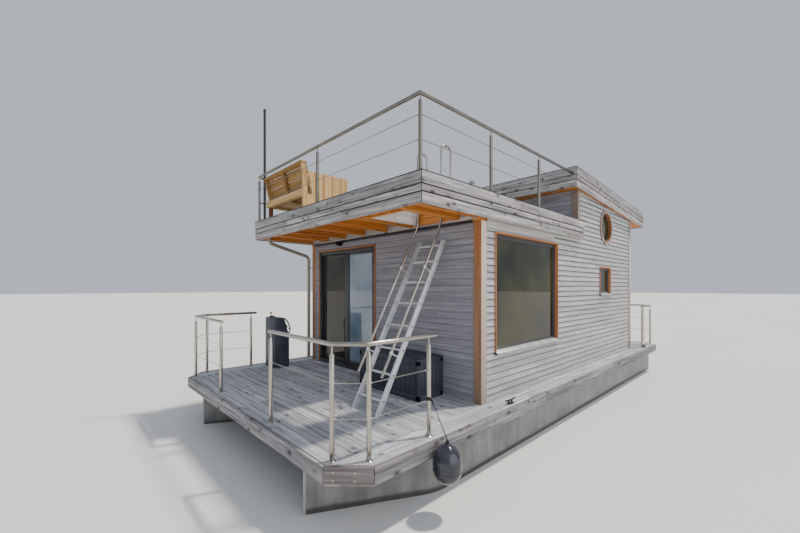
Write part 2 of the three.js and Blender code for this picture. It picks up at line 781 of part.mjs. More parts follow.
function outboardLegGeometry() {
  const upperYoke = box(-60, 60, tilt.y + 15, tilt.y + 300, tilt.z + 40 + seat, tilt.z + 88);
  const lowerYoke = box(-45, 45, tilt.y + 20, tilt.y + 140, tilt.z - 375, tilt.z - 330 - seat);
  const shank = [
    [tilt.y + 95, tilt.z + 60],
    [tilt.y + 95, tilt.z - 620],
    [tilt.y + 70, tilt.z - 720],
    [tilt.y + 110, tilt.z - 890],
    [tilt.y + 190, tilt.z - 895],
    [tilt.y + 230, tilt.z - 780],
    [tilt.y + 225, tilt.z - 600],
    [tilt.y + 240, tilt.z + 60],
  ];
  const plate = box(-85, 85, tilt.y + 60, tilt.y + 340, tilt.z - 590, tilt.z - 578);
  const nose = [[0, -250], [20, -232], [38, -170], [45, -90], [45, 20], [36, 55], [0, 55]];
  const pod = new THREE.LatheGeometry(nose.map(([r, y]) => new THREE.Vector2(r, y)), 12);
  pod.translate(0, screw.front - 55 - seat, screw.z);
  const wide = box(-38, 38, tilt.y + 100, tilt.y + 236, tilt.z - 560, tilt.z + 60);
  return join(upperYoke, lowerYoke, runAcross(shank, -14, 14), wide, plate, pod);
}

function outboardCowlGeometry() {
  const z = tilt.z + 88 + seat;
  const profile = [
    [tilt.y - 30, z],
    [tilt.y + 340, z],
    [tilt.y + 388, z + 90],
    [tilt.y + 380, z + 240],
    [tilt.y + 320, z + 320],
    [tilt.y + 60, z + 342],
    [tilt.y - 10, z + 300],
    [tilt.y - 48, z + 180],
    [tilt.y - 48, z + 60],
  ];
  const round = 40;
  const shape = new THREE.Shape(profile.map(([y, h]) => new THREE.Vector2(y, h)));
  const geometry = new THREE.ExtrudeGeometry(shape, {
    depth: 300 - 2 * round, bevelEnabled: true, bevelSize: round, bevelThickness: round,
    bevelOffset: -round, bevelSegments: 3,
  });
  return geometry.applyMatrix4(acrossTurn).translate(-150 + round, 0, 0);
}

function propellerGeometry() {
  const hub = new THREE.CylinderGeometry(26, 34, 80, 12).translate(0, 40, 0);
  const blades = [0, 1, 2].map((i) => {
    const blade = box(20, screw.radius, -4, 4, -34, 34);
    blade.rotateX(0.6).translate(0, 40, 0);
    return blade.rotateY((i * 2 * Math.PI) / 3);
  });
  return join(hub, ...blades).translate(0, screw.front, screw.z);
}

// Assembly
addPart('deck_frame', deckFrameGeometry(), paint.steel);
addPart('deck_boards', slab(deckInside, boardBottom, deck.top), paint.greyTimber);
addPart('deck_edge', deckEdgeGeometry(), paint.greyTimber);
addPart('wall_front', frontWallGeometry(), paint.siding);
addPart('wall_rear', rearWallGeometry(), paint.siding);
addPart('wall_clerestory', clerestoryGeometry(), paint.siding);
for (const [name, side] of [['port', 1], ['starboard', -1]]) {
  addPart(`pontoon_${name}`, pontoonGeometry(side), paint.steel);
  addPart(`wall_${name}`, sideWallGeometry(side), paint.siding);
  addPart(`front_post_${name}`, postGeometry(side, cabin.front, wallFoot, eaves), paint.larch);
  addPart(`rear_post_${name}`, postGeometry(side, cabin.rear - cabin.post, wallFoot, 5000), paint.larch);
  addPart(`upper_post_${name}`, postGeometry(side, terrace.rear, eaves + seat, 5000), paint.larch);
  addPart(`picture_frame_${name}`, windowFrameGeometry(side, pictureWindow), paint.larch);
  addPart(`picture_pane_${name}`, paneGeometry(side, pictureWindow), paint.glass);
  addPart(`small_frame_${name}`, windowFrameGeometry(side, smallWindow), paint.larch);
  addPart(`small_pane_${name}`, paneGeometry(side, smallWindow), paint.glass);
  addPart(`round_frame_${name}`, roundFrameGeometry(side), paint.larch);
  addPart(`round_pane_${name}`, roundPaneGeometry(side), paint.glass);
  addPart(`bow_rail_${name}`, deckRailGeometry(side, -1), paint.stainless);
  addPart(`stern_rail_${name}`, deckRailGeometry(side, 1), paint.stainless);
}
addPart('terrace_roof', terraceRoofGeometry(), paint.larch);
addPart('terrace_fascia', terraceFasciaGeometry(), paint.greyTimber);
addPart('upper_roof', upperRoofGeometry(), paint.larch);
addPart('upper_fascia', upperFasciaGeometry(), paint.greyTimber);
addPart('door_frame', doorFrameGeometry(), paint.anthracite);
addPart('door_fixed_pane', fixedPaneGeometry(), paint.glass);
addPart('door_leaf', leafGeometry(), paint.anthracite);
addPart('door_leaf_pane', leafPaneGeometry(), paint.glass);
addPart('rear_door_frame', rearDoorFrameGeometry(), paint.larch);
addPart('rear_door', rearDoorGeometry(), paint.anthracite);
addPart('terrace_rail', terraceRailGeometry(), paint.stainless);
addPart('ladder', ladderGeometry(), paint.aluminium);
addPart('helm_console', helmGeometry(), paint.anthracite);
addPart('steering_wheel', wheelGeometry(), paint.black);
addPart('mast_pole', poleGeometry(), paint.black);
addPart('downpipe', downpipeGeometry(), paint.zinc);
addPart('door_lamp', lampGeometry(), paint.black);
addPart('deck_box', deckBoxGeometry(), paint.anthracite);
addPart('deck_box_lid', deckBoxLidGeometry(), paint.anthracite);
addPart('terrace_bench', benchGeometry(), paint.pine);
addPart('fender', fenderGeometry(), paint.black);
addPart('fender_lanyard', lanyardGeometry(), paint.black);
addPart('outboard_mount', outboardMountGeometry(), paint.steel);
addPart('outboard_swivel', outboardSwivelGeometry(), paint.black);
addPart('outboard_leg', outboardLegGeometry(), paint.black);
addPart('outboard_cowl', outboardCowlGeometry(), paint.black);
addPart('propeller', propellerGeometry(), paint.black);

export default houseboat;
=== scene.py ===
# Looks of a timber houseboat on two steel pontoons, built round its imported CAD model.
# Metres, +X to port, -Y to the bow, +Z up; the waterline is the studio floor.
import math
import random

import bmesh
import bpy
from mathutils import Matrix, Vector


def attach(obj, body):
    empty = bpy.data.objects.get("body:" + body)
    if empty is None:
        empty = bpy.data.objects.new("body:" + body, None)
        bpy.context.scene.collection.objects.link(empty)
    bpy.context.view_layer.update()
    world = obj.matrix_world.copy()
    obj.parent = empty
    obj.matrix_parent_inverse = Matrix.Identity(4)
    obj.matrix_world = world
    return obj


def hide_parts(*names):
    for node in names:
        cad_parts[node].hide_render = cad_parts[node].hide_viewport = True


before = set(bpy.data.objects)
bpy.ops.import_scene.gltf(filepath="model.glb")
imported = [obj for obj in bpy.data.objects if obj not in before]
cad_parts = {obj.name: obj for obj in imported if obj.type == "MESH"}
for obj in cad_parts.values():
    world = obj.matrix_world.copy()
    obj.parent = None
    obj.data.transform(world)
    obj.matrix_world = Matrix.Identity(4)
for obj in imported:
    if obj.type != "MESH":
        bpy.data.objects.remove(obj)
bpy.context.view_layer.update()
random.seed(11)

# Main lines that several pieces share, as the CAD has them
hull = {"deckTop": 1.07, "half": 2.33, "end": 4.905, "chamfer": 0.3, "edgeThick": 0.028, "edgeHeight": 0.148,
        "wellHalf": 0.38, "wellFront": 4.06}
cabin = {"outer": 2.025, "lapFace": 2.018, "inner": 1.91, "front": -2.65, "rear": 3.6, "foot": 1.0703,
         "eaves": 3.35, "lapPitch": 0.087}
terrace = {"half": 2.095, "front": -3.8, "rear": 0.385, "fasciaRear": 0.525, "bottom": 3.38, "top": 3.721,
           "floor": 3.62}
upper = {"half": 2.095, "front": 0.145, "rear": 4.475, "top": 4.645, "height": 0.355, "pitch": 0.058}
seat = 0.0003  # gap between pieces that rest on each other


# ---- Shaping: every part is a small bmesh, then joined into its piece
def soften(part, edge, segments=2):
    if edge:
        bmesh.ops.bevel(part, geom=part.edges[:], offset=edge, offset_type="OFFSET", segments=segments,
                        profile=0.5, affect="EDGES", material=-1, clamp_overlap=True)
    return part


def box(low, high, edge=0.0, segments=2):
    part = bmesh.new()
    low, high = Vector(low), Vector(high)
    bmesh.ops.create_cube(part, size=1, matrix=Matrix.Translation((low + high) / 2)
                          @ Matrix.Diagonal((*(high - low), 1)))
    return soften(part, edge, segments)


def newVerts(made):
    return [item for item in made["geom"] if isinstance(item, bmesh.types.BMVert)]


# A flat outline, cut off at planes where asked, drawn out along one way
def solid(corners, way, edge=0.0, segments=2, cuts=()):
    part = bmesh.new()
    part.faces.new([part.verts.new(corner) for corner in corners])
    for place, facing in cuts:
        bmesh.ops.bisect_plane(part, geom=part.verts[:] + part.edges[:] + part.faces[:], plane_co=place,
                               plane_no=facing, clear_outer=True)
    if part.faces:
        made = bmesh.ops.extrude_face_region(part, geom=part.faces[:])
        bmesh.ops.translate(part, verts=newVerts(made), vec=way)
        bmesh.ops.recalc_face_normals(part, faces=part.faces[:])
        soften(part, edge, segments)
    return part


# A round tube with mitred corners along a line of points
def tube(path, radius, sides=16, edge=0.0):
    part = bmesh.new()
    points = [Vector(point) for point in path]
    ways = [(b - a).normalized() for a, b in zip(points, points[1:])]
    turn = ways[0].to_track_quat("Z", "Y").to_matrix().to_4x4()
    bmesh.ops.create_circle(part, cap_ends=False, radius=radius, segments=sides,
                            matrix=Matrix.Translation(points[0]) @ turn)
    ring = ends = part.edges[:]
    for i, way in enumerate(ways):
        mitre = (way + ways[min(i + 1, len(ways) - 1)]).normalized()
        made = bmesh.ops.extrude_edge_only(part, edges=ring)
        fresh = set(newVerts(made))
        for vert in fresh:
            vert.co += way * ((points[i + 1] - vert.co).dot(mitre) / way.dot(mitre))
        ring = [item for item in made["geom"] if isinstance(item, bmesh.types.BMEdge)
                and all(vert in fresh for vert in item.verts)]
    for rim in (ends, ring):
        cap = bmesh.ops.edgeloop_fill(part, edges=rim)["faces"]
        if edge:
            bmesh.ops.bevel(part, geom=cap[0].edges[:], offset=edge, offset_type="OFFSET", segments=2,
                            profile=0.5, affect="EDGES", material=-1)
    bmesh.ops.recalc_face_normals(part, faces=part.faces[:])
    return part


# The same line with its corners rounded
def rounded(path, radius, steps=6):
    points = [Vector(point) for point in path]
    line = [points[0]]
    for before, corner, after in zip(points, points[1:], points[2:]):
        toBefore, toAfter = (before - corner), (after - corner)
        reach = min(radius, toBefore.length * 0.49, toAfter.length * 0.49)
        start, end = corner + toBefore.normalized() * reach, corner + toAfter.normalized() * reach
        for i in range(steps + 1):
            t = i / steps
            line.append(start * (1 - t) ** 2 + corner * 2 * t * (1 - t) + end * t ** 2)
    return line + [points[-1]]


# A profile of radius and height, spun round its axis
def turned(profile, steps=32, place=Matrix()):
    part = bmesh.new()
    verts = [part.verts.new((radius, 0, height)) for radius, height in profile]
    edges = [part.edges.new(pair) for pair in zip(verts, verts[1:])]
    bmesh.ops.spin(part, geom=verts + edges, cent=(0, 0, 0), axis=(0, 0, 1), angle=math.tau, steps=steps,
                   use_merge=True)
    bmesh.ops.remove_doubles(part, verts=part.verts[:], dist=1e-5)
    bmesh.ops.recalc_face_normals(part, faces=part.faces[:])
    bmesh.ops.transform(part, matrix=place, verts=part.verts[:])
    return part


def facing(place, way):
    return Matrix.Translation(place) @ Vector(way).to_track_quat("Z", "Y").to_matrix().to_4x4()


# A domed bolt head that looks along one way
def boltHead(place, way, radius=0.007, height=0.005, steps=10):
    profile = [(radius, 0), (radius, height * 0.5), (radius * 0.7, height), (0, height)]
    return turned(profile, steps, facing(place, way))


# Each board keeps its own grain line and tone, so that no two look alike
def grained(part, along, across=(0, 0, 1)):
    grain = part.verts.layers.float_vector.new("grain")
    tone = part.verts.layers.float.new("tone")
    along, across = Vector(along).normalized(), Vector(across).normalized()
    deep = along.cross(across)
    shift = Vector((random.uniform(0, 40), random.uniform(0, 40), random.uniform(0, 40)))
    value = random.random()
    for vert in part.verts:
        vert[grain] = (vert.co.dot(along) + shift.x, vert.co.dot(across) + shift.y, vert.co.dot(deep) + shift.z)
        vert[tone] = value
    return part


def boardBox(low, high, edge=0.002):
    size = Vector(high) - Vector(low)
    order = sorted(range(3), key=lambda i: -size[i])
    axes = [Vector([float(i == order[k]) for i in range(3)]) for k in range(2)]
    return grained(box(low, high, edge, 1), axes[0], axes[1])


def startPiece():
    whole = bmesh.new()
    whole.verts.layers.float_vector.new("grain")
    whole.verts.layers.float.new("tone")
    return whole


def addPart(whole, part, place=None):
    if place is not None:
        bmesh.ops.transform(part, matrix=place, verts=part.verts[:])
    scratch = bpy.data.meshes.new("scratch")
    part.to_mesh(scratch)
    part.free()
    whole.from_mesh(scratch)
    bpy.data.meshes.remove(scratch)


def finishPiece(name, whole, finish, slot, body="boat", replaces=(), sharp=38):
    mesh = bpy.data.meshes.new(name)
    whole.to_mesh(mesh)
    whole.free()
    mesh.materials.append(finish)
    mesh.shade_smooth()
    mesh.set_sharp_from_angle(angle=math.radians(sharp))
    piece = bpy.data.objects.new(name, mesh)
    bpy.context.scene.collection.objects.link(piece)
    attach(piece, body)
    if replaces:
        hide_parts(*replaces)
    return piece


def makePiece(name, parts, finish, slot, **more):
    whole = startPiece()
    for part in parts:
        addPart(whole, part)
    return finishPiece(name, whole, finish, slot, **more)


def boxes(edge, segments, *corners):
    return [box(low, high, edge, segments) for low, high in corners]


def placed(part, place):
    bmesh.ops.transform(part, matrix=place, verts=part.verts[:])
    return part
def dressNode(name, finish):
    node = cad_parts[name]
    if node.material_slots:
        for slot in node.material_slots:
            slot.material = finish
    else:
        node.data.materials.append(finish)


# Four mitred rails round an opening; place turns (a, b) into a point, deep is the rail's depth
def mitredFrame(whole, place, low, high, width, deep, edge=0.0015, wood=False):
    (a0, b0), (a1, b1) = low, high
    outer = [(a0, b0), (a1, b0), (a1, b1), (a0, b1)]
    inner = [(a0 + width, b0 + width), (a1 - width, b0 + width), (a1 - width, b1 - width), (a0 + width, b1 - width)]
    for i in range(4):
        k = (i + 1) % 4
        corners = [place(*outer[i]), place(*outer[k]), place(*inner[k]), place(*inner[i])]
        part = solid(corners, deep, edge, 1)
        addPart(whole, grained(part, corners[1] - corners[0], deep) if wood else part)


# ---- Materials
def linearColour(code):
    parts = [int(code[i:i + 2], 16) / 255 for i in (1, 3, 5)]
    return [value / 12.92 if value <= 0.04045 else ((value + 0.055) / 1.055) ** 2.4 for value in parts] + [1.0]


# One node with its settings; sockets among its inputs are linked, and the asked output comes back (None: all)
def addNode(tree, kind, inputs=(), output=0, stops=(), **settings):
    node = tree.nodes.new("ShaderNode" + kind)
    for name, value in settings.items():
        setattr(node, name, value)
    for name, value in (inputs.items() if isinstance(inputs, dict) else enumerate(inputs)):
        if isinstance(value, bpy.types.NodeSocket):
            tree.links.new(value, node.inputs[name])
        else:
            node.inputs[name].default_value = value
    while stops and len(node.color_ramp.elements) < len(stops):
        node.color_ramp.elements.new(0.5)
    for i, (place, code) in enumerate(stops):
        node.color_ramp.elements[i].position = place
        node.color_ramp.elements[i].color = linearColour(code)
    return node.outputs if output is None else node.outputs[output]


def startFinish(name):
    finish = bpy.data.materials.new(name)
    finish.use_nodes = True
    finish.node_tree.nodes.clear()
    return finish, finish.node_tree


# Colour, roughness and relief come from the pattern; what is the same all over stays on the shader's own sockets
def closeFinish(tree, colour, rough, height, strength, relief=0.002, constants=()):
    bump = addNode(tree, "Bump", {"Strength": strength, "Distance": relief, "Height": height})
    shader = addNode(tree, "BsdfPrincipled", {"Base Color": colour, "Roughness": rough, "Normal": bump,
                                              **dict(constants)})
    addNode(tree, "OutputMaterial", {"Surface": shader}, None)


# The same point seen through several stretched noises
def noiseLayers(tree, point, layers, roughness=0.6):
    made = []
    for stretch, detail in layers:
        scaled = addNode(tree, "VectorMath", (point, stretch), operation="MULTIPLY")
        made.append(addNode(tree, "TexNoise", {"Vector": scaled, "Scale": 1.0, "Detail": detail,
                                               "Roughness": roughness}))
    return made


def blended(tree, broad, fine, share):
    rest = addNode(tree, "Math", (broad, 1 - share), operation="MULTIPLY")
    return addNode(tree, "Math", (fine, share, rest), operation="MULTIPLY_ADD")


# Wood seen along its grain: streaks, fibres, drying checks, weather patches and knots. Widths are real millimetres.
def woodColour(tree, point, tone, look):
    broad, fine = 1000 / look["streakMm"], 1000 / look["fibreMm"]
    stretches = (0.9, broad, broad), (6.0, fine, fine), (0.7, 3.0, 3.0), (2.2, fine * 0.8, fine * 0.8)
    streaks, fibres, patches, checks = noiseLayers(tree, point, zip(stretches, (5.0, 3.0, 3.0, 2.0)))
    mixed = blended(tree, streaks, fibres, 0.32)
    dark, spread = look["dark"], look["toneSpread"]
    colour = addNode(tree, "ValToRGB", (mixed,), stops=((0.34, dark), (0.50, look["mid"]), (0.64, look["light"])))
    shade = addNode(tree, "MapRange", (tone, 0.0, 1.0, 1 - spread, 1 + spread))
    shade = addNode(tree, "CombineColor", (shade, shade, shade))
    colour = addNode(tree, "Mix", {0: 1.0, 6: colour, 7: shade}, 2, data_type="RGBA", blend_type="MULTIPLY")
    worn = addNode(tree, "MapRange", (patches, 0.46, 0.66, 0.0, look.get("patch", 0.0)))
    split = addNode(tree, "MapRange", (checks, 0.66, 0.72, 0.0, look.get("checks", 0.0)))
    coats, hollows = [(worn, look.get("patchTone", dark)), (split, look.get("knot", dark))], [(split, 0.5)]
    if "knotMm" in look:
        pitch, size = 1000 / look["knotPitchMm"], look["knotMm"] / look["knotPitchMm"]
        cells = addNode(tree, "VectorMath", (point, (pitch * 0.5, pitch, pitch)), operation="MULTIPLY")
        spots = addNode(tree, "TexVoronoi", {"Vector": cells, "Scale": 1.0}, feature="F1")
        knots = addNode(tree, "MapRange", (spots, size * 0.3, size, look.get("knotDark", 0.8), 0.0))
        coats.append((knots, look["knot"]))
        hollows.append((knots, 0.4))
    for mask, code in coats:
        colour = addNode(tree, "Mix", {0: mask, 6: colour, 7: linearColour(code)}, 2, data_type="RGBA")
    height = mixed
    for mask, depth in hollows:
        hollow = addNode(tree, "Math", (mask, depth), operation="MULTIPLY")
        height = addNode(tree, "Math", (height, hollow), operation="SUBTRACT")
    return colour, height, streaks


def closeWood(tree, colour, height, streaks, look):
    middle = look["roughness"]
    rough = addNode(tree, "MapRange", (streaks, 0.3, 0.7, middle + 0.08, middle - 0.08))
    closeFinish(tree, colour, rough, height, look["bump"], constants={"Specular IOR Level": 0.3})


# Boards of scene pieces read their own grain; CAD posts read object coordinates with the grain upright
def timberFinish(name, look, upright=False):
    finish, tree = startFinish(name)
    if upright:
        x, y, z = addNode(tree, "SeparateXYZ", (addNode(tree, "TexCoord", output="Object"),), None)
        point = addNode(tree, "CombineXYZ", (z, x, y))
        corner = addNode(tree, "CombineXYZ", (addNode(tree, "Math", (x,), operation="SIGN"),
                                              addNode(tree, "Math", (y,), operation="ROUND")))
        tone = addNode(tree, "TexWhiteNoise", (corner,), noise_dimensions="2D")
    else:
        point = addNode(tree, "Attribute", output="Vector", attribute_name="grain")
        tone = addNode(tree, "Attribute", output="Fac", attribute_name="tone")
    colour, height, streaks = woodColour(tree, point, tone, look)
    if upright:
        normal = addNode(tree, "SeparateXYZ", (addNode(tree, "NewGeometry", output="Normal"),), None)
        side = addNode(tree, "Math", (normal[0],), operation="ABSOLUTE")
        rise = addNode(tree, "Math", (streaks, -1.2, z), operation="MULTIPLY_ADD")
        weathered = addNode(tree, "Math", (side, look["weathered"]), operation="MULTIPLY")  # pale to the weather
        low = addNode(tree, "MapRange", (rise, 0.6, 2.75, look["lowGrey"], 0.0))  # the sheltered head stays orange
        high = addNode(tree, "MapRange", (rise, 2.95, 3.1, 0.0, look["highGrey"]))  # burnt dark above the terrace
        fade = addNode(tree, "MapRange", (rise, 3.85, 4.1, 1.0, 0.2))
        high = addNode(tree, "Math", (high, fade), operation="MULTIPLY")
        for mask, code in ((weathered, "weatheredTone"), (low, "lowTone"), (high, "highTone")):
            colour = addNode(tree, "Mix", {0: mask, 6: colour, 7: linearColour(look[code])}, 2, data_type="RGBA")
    closeWood(tree, colour, height, streaks, look)
    return finish


# Stained lapped siding on the CAD walls: courses by height, board joints by a random shift of each course, and a
# painted shadow line under each lap
def sidingFinish(name, look, along, inward):
    finish, tree = startFinish(name)
    split = addNode(tree, "SeparateXYZ", (addNode(tree, "TexCoord", output="Object"),), None)
    run, depth = (split[0], split[1]) if along == "x" else (split[1], split[0])
    rise = addNode(tree, "Math", (split[2], cabin["foot"]), operation="SUBTRACT")
    height = addNode(tree, "Math", (rise, cabin["lapPitch"]), operation="DIVIDE")
    course = addNode(tree, "Math", (height,), operation="FLOOR")
    within = addNode(tree, "Math", (height,), operation="FRACT")
    shift = addNode(tree, "TexWhiteNoise", {"W": course}, noise_dimensions="1D")
    lengths = addNode(tree, "Math", (run, look["boardLength"]), operation="DIVIDE")
    place = addNode(tree, "Math", (shift, 5.0, lengths), operation="MULTIPLY_ADD")
    cell = addNode(tree, "CombineXYZ", (addNode(tree, "Math", (place,), operation="FLOOR"), course))
    tone = addNode(tree, "TexWhiteNoise", (cell,), noise_dimensions="2D")
    point = addNode(tree, "CombineXYZ", (addNode(tree, "Math", (shift, 17.0, run), operation="MULTIPLY_ADD"),
                                         addNode(tree, "Math", (tone, 9.0, split[2]), operation="MULTIPLY_ADD"), depth))
    colour, relief, streaks = woodColour(tree, point, tone, look)
    joint = addNode(tree, "Math", (addNode(tree, "Math", (place,), operation="FRACT"),
                                   look["jointMm"] / 1000 / look["boardLength"]), operation="LESS_THAN")
    dark = addNode(tree, "Math", (joint, 0.6), operation="MULTIPLY")
    # painted shadow: the top of each course, under the board above, darkens towards the gap colour, which also colours
    # the real board joints
    lap = addNode(tree, "MapRange", (within, look["lapFrom"], 0.98, 0.0, look["lapDark"]))
    lipShadow = addNode(tree, "MapRange", (within, 0.0, 0.05, look["lipDark"], 0.0))  # painted shadow along the lower edge of each board
    for shadow in (lap, lipShadow):
        dark = addNode(tree, "Math", (dark, shadow), operation="MAXIMUM")
    panel = addNode(tree, "TexNoise", {"Vector": point, "Scale": 5.0, "Detail": 3.0})
    inside = addNode(tree, "ValToRGB", (panel,), stops=((0.35, "#6f5d42"), (0.65, "#8f7a5a")))  # birch panels inside
    normal = addNode(tree, "SeparateXYZ", (addNode(tree, "NewGeometry", output="Normal"),), None)
    axis, sign = inward
    facingIn = addNode(tree, "Math", (normal[axis], float(sign)), operation="MULTIPLY")
    behind = addNode(tree, "Math", (facingIn, 0.5), operation="GREATER_THAN")
    for mask, other in ((dark, linearColour(look["gap"])), (behind, inside)):
        colour = addNode(tree, "Mix", {0: mask, 6: colour, 7: other}, 2, data_type="RGBA")
    closeWood(tree, colour, relief, streaks, look)
    return finish


# Metals, coatings and mouldings: a broad tone, fine streaks or specks, and wear
def smoothFinish(name, look):
    finish, tree = startFinish(name)
    layers = (look.get("patch", (2.2, 2.2, 2.2)), 4.0), ([1000 / size for size in look["speckMm"]], 3.0)
    broad, fine = noiseLayers(tree, addNode(tree, "TexCoord", output="Object"), layers, 0.58)
    mixed = blended(tree, broad, fine, 0.3)
    colour = addNode(tree, "ValToRGB", (mixed,), stops=((0.32, look["dark"]), (0.68, look["light"])))
    middle, spread = look["roughness"], look["roughSpread"]
    rough = addNode(tree, "MapRange", (mixed, 0.3, 0.7, middle - spread, middle + spread))
    closeFinish(tree, colour, rough, fine, look["bump"], 0.001,
                {"Metallic": look.get("metallic", 0.0), "Coat Weight": look.get("coat", 0.0), "Coat Roughness": 0.12})
    return finish


# Painted hull steel: mottled coat, rain streaks down the sides, a pale stem and a stain just above the water
def hullFinish(name, look):
    finish, tree = startFinish(name)
    point = addNode(tree, "TexCoord", output="Object")
    x, y, z = addNode(tree, "SeparateXYZ", (point,), None)
    patches, streaks = noiseLayers(tree, point, (((1.6, 1.6, 2.4), 5.0), ((9.0, 9.0, 0.8), 4.0)))
    mixed = blended(tree, patches, streaks, 0.4)
    colour = addNode(tree, "ValToRGB", (mixed,), stops=((0.32, look["dark"]), (0.5, look["mid"]),
                                                        (0.68, look["light"])))
    ragged = addNode(tree, "Math", (patches, -0.09, z), operation="MULTIPLY_ADD")
    stain = addNode(tree, "MapRange", (ragged, look["waterline"] - 0.012, look["waterline"] + 0.012, 0.8, 0.0))
    stem = addNode(tree, "MapRange", (y, look["stemY"], look["stemY"] + 0.02, 0.75, 0.0))
    for mask, code in ((stain, "stain"), (stem, "stem")):
        colour = addNode(tree, "Mix", {0: mask, 6: colour, 7: linearColour(look[code])}, 2, data_type="RGBA")
    rough = addNode(tree, "MapRange", (mixed, 0.3, 0.7, 0.36, 0.58))
    closeFinish(tree, colour, rough, patches, 0.25, 0.004, {"Metallic": look["metallic"]})
    return finish


# Double glazing, its faint green tint a painted reflection of what the pane faces: dark against the room behind, with a
# clear reflection
def glassFinish(name, look):
    finish, tree = startFinish(name)
    point = addNode(tree, "TexCoord", output="Object")
    smearAndReflection, wave = (addNode(tree, "TexNoise", {"Vector": point, "Scale": scale, "Detail": detail})
                   for scale, detail in ((1.3, 3.0), (0.8, 1.0)))
    # tint: painted reflection, in patches
    tint = addNode(tree, "ValToRGB", (smearAndReflection,), stops=((0.35, look["dark"]), (0.65, look["light"])))
    rough = addNode(tree, "MapRange", (smearAndReflection, 0.4, 0.75, 0.01, 0.05))
    closeFinish(tree, tint, rough, wave, 0.05, 0.01, {"Transmission Weight": look["clear"], "IOR": look["ior"]})
    return finish


# Laid rope: the strands are in the mesh, so the material only adds yarns and fluff
def ropeFinish(name, dark, light):
    finish, tree = startFinish(name)
    yarn = addNode(tree, "TexNoise", {"Vector": addNode(tree, "TexCoord", output="Object"), "Scale": 400.0,
                                      "Detail": 2.0})
    colour = addNode(tree, "ValToRGB", (yarn,), stops=((0.35, dark), (0.7, light)))
    rough = addNode(tree, "MapRange", (yarn, 0.3, 0.7, 0.8, 0.9))
    closeFinish(tree, colour, rough, yarn, 0.6, 0.001, {"Sheen Weight": 0.2})
    return finish


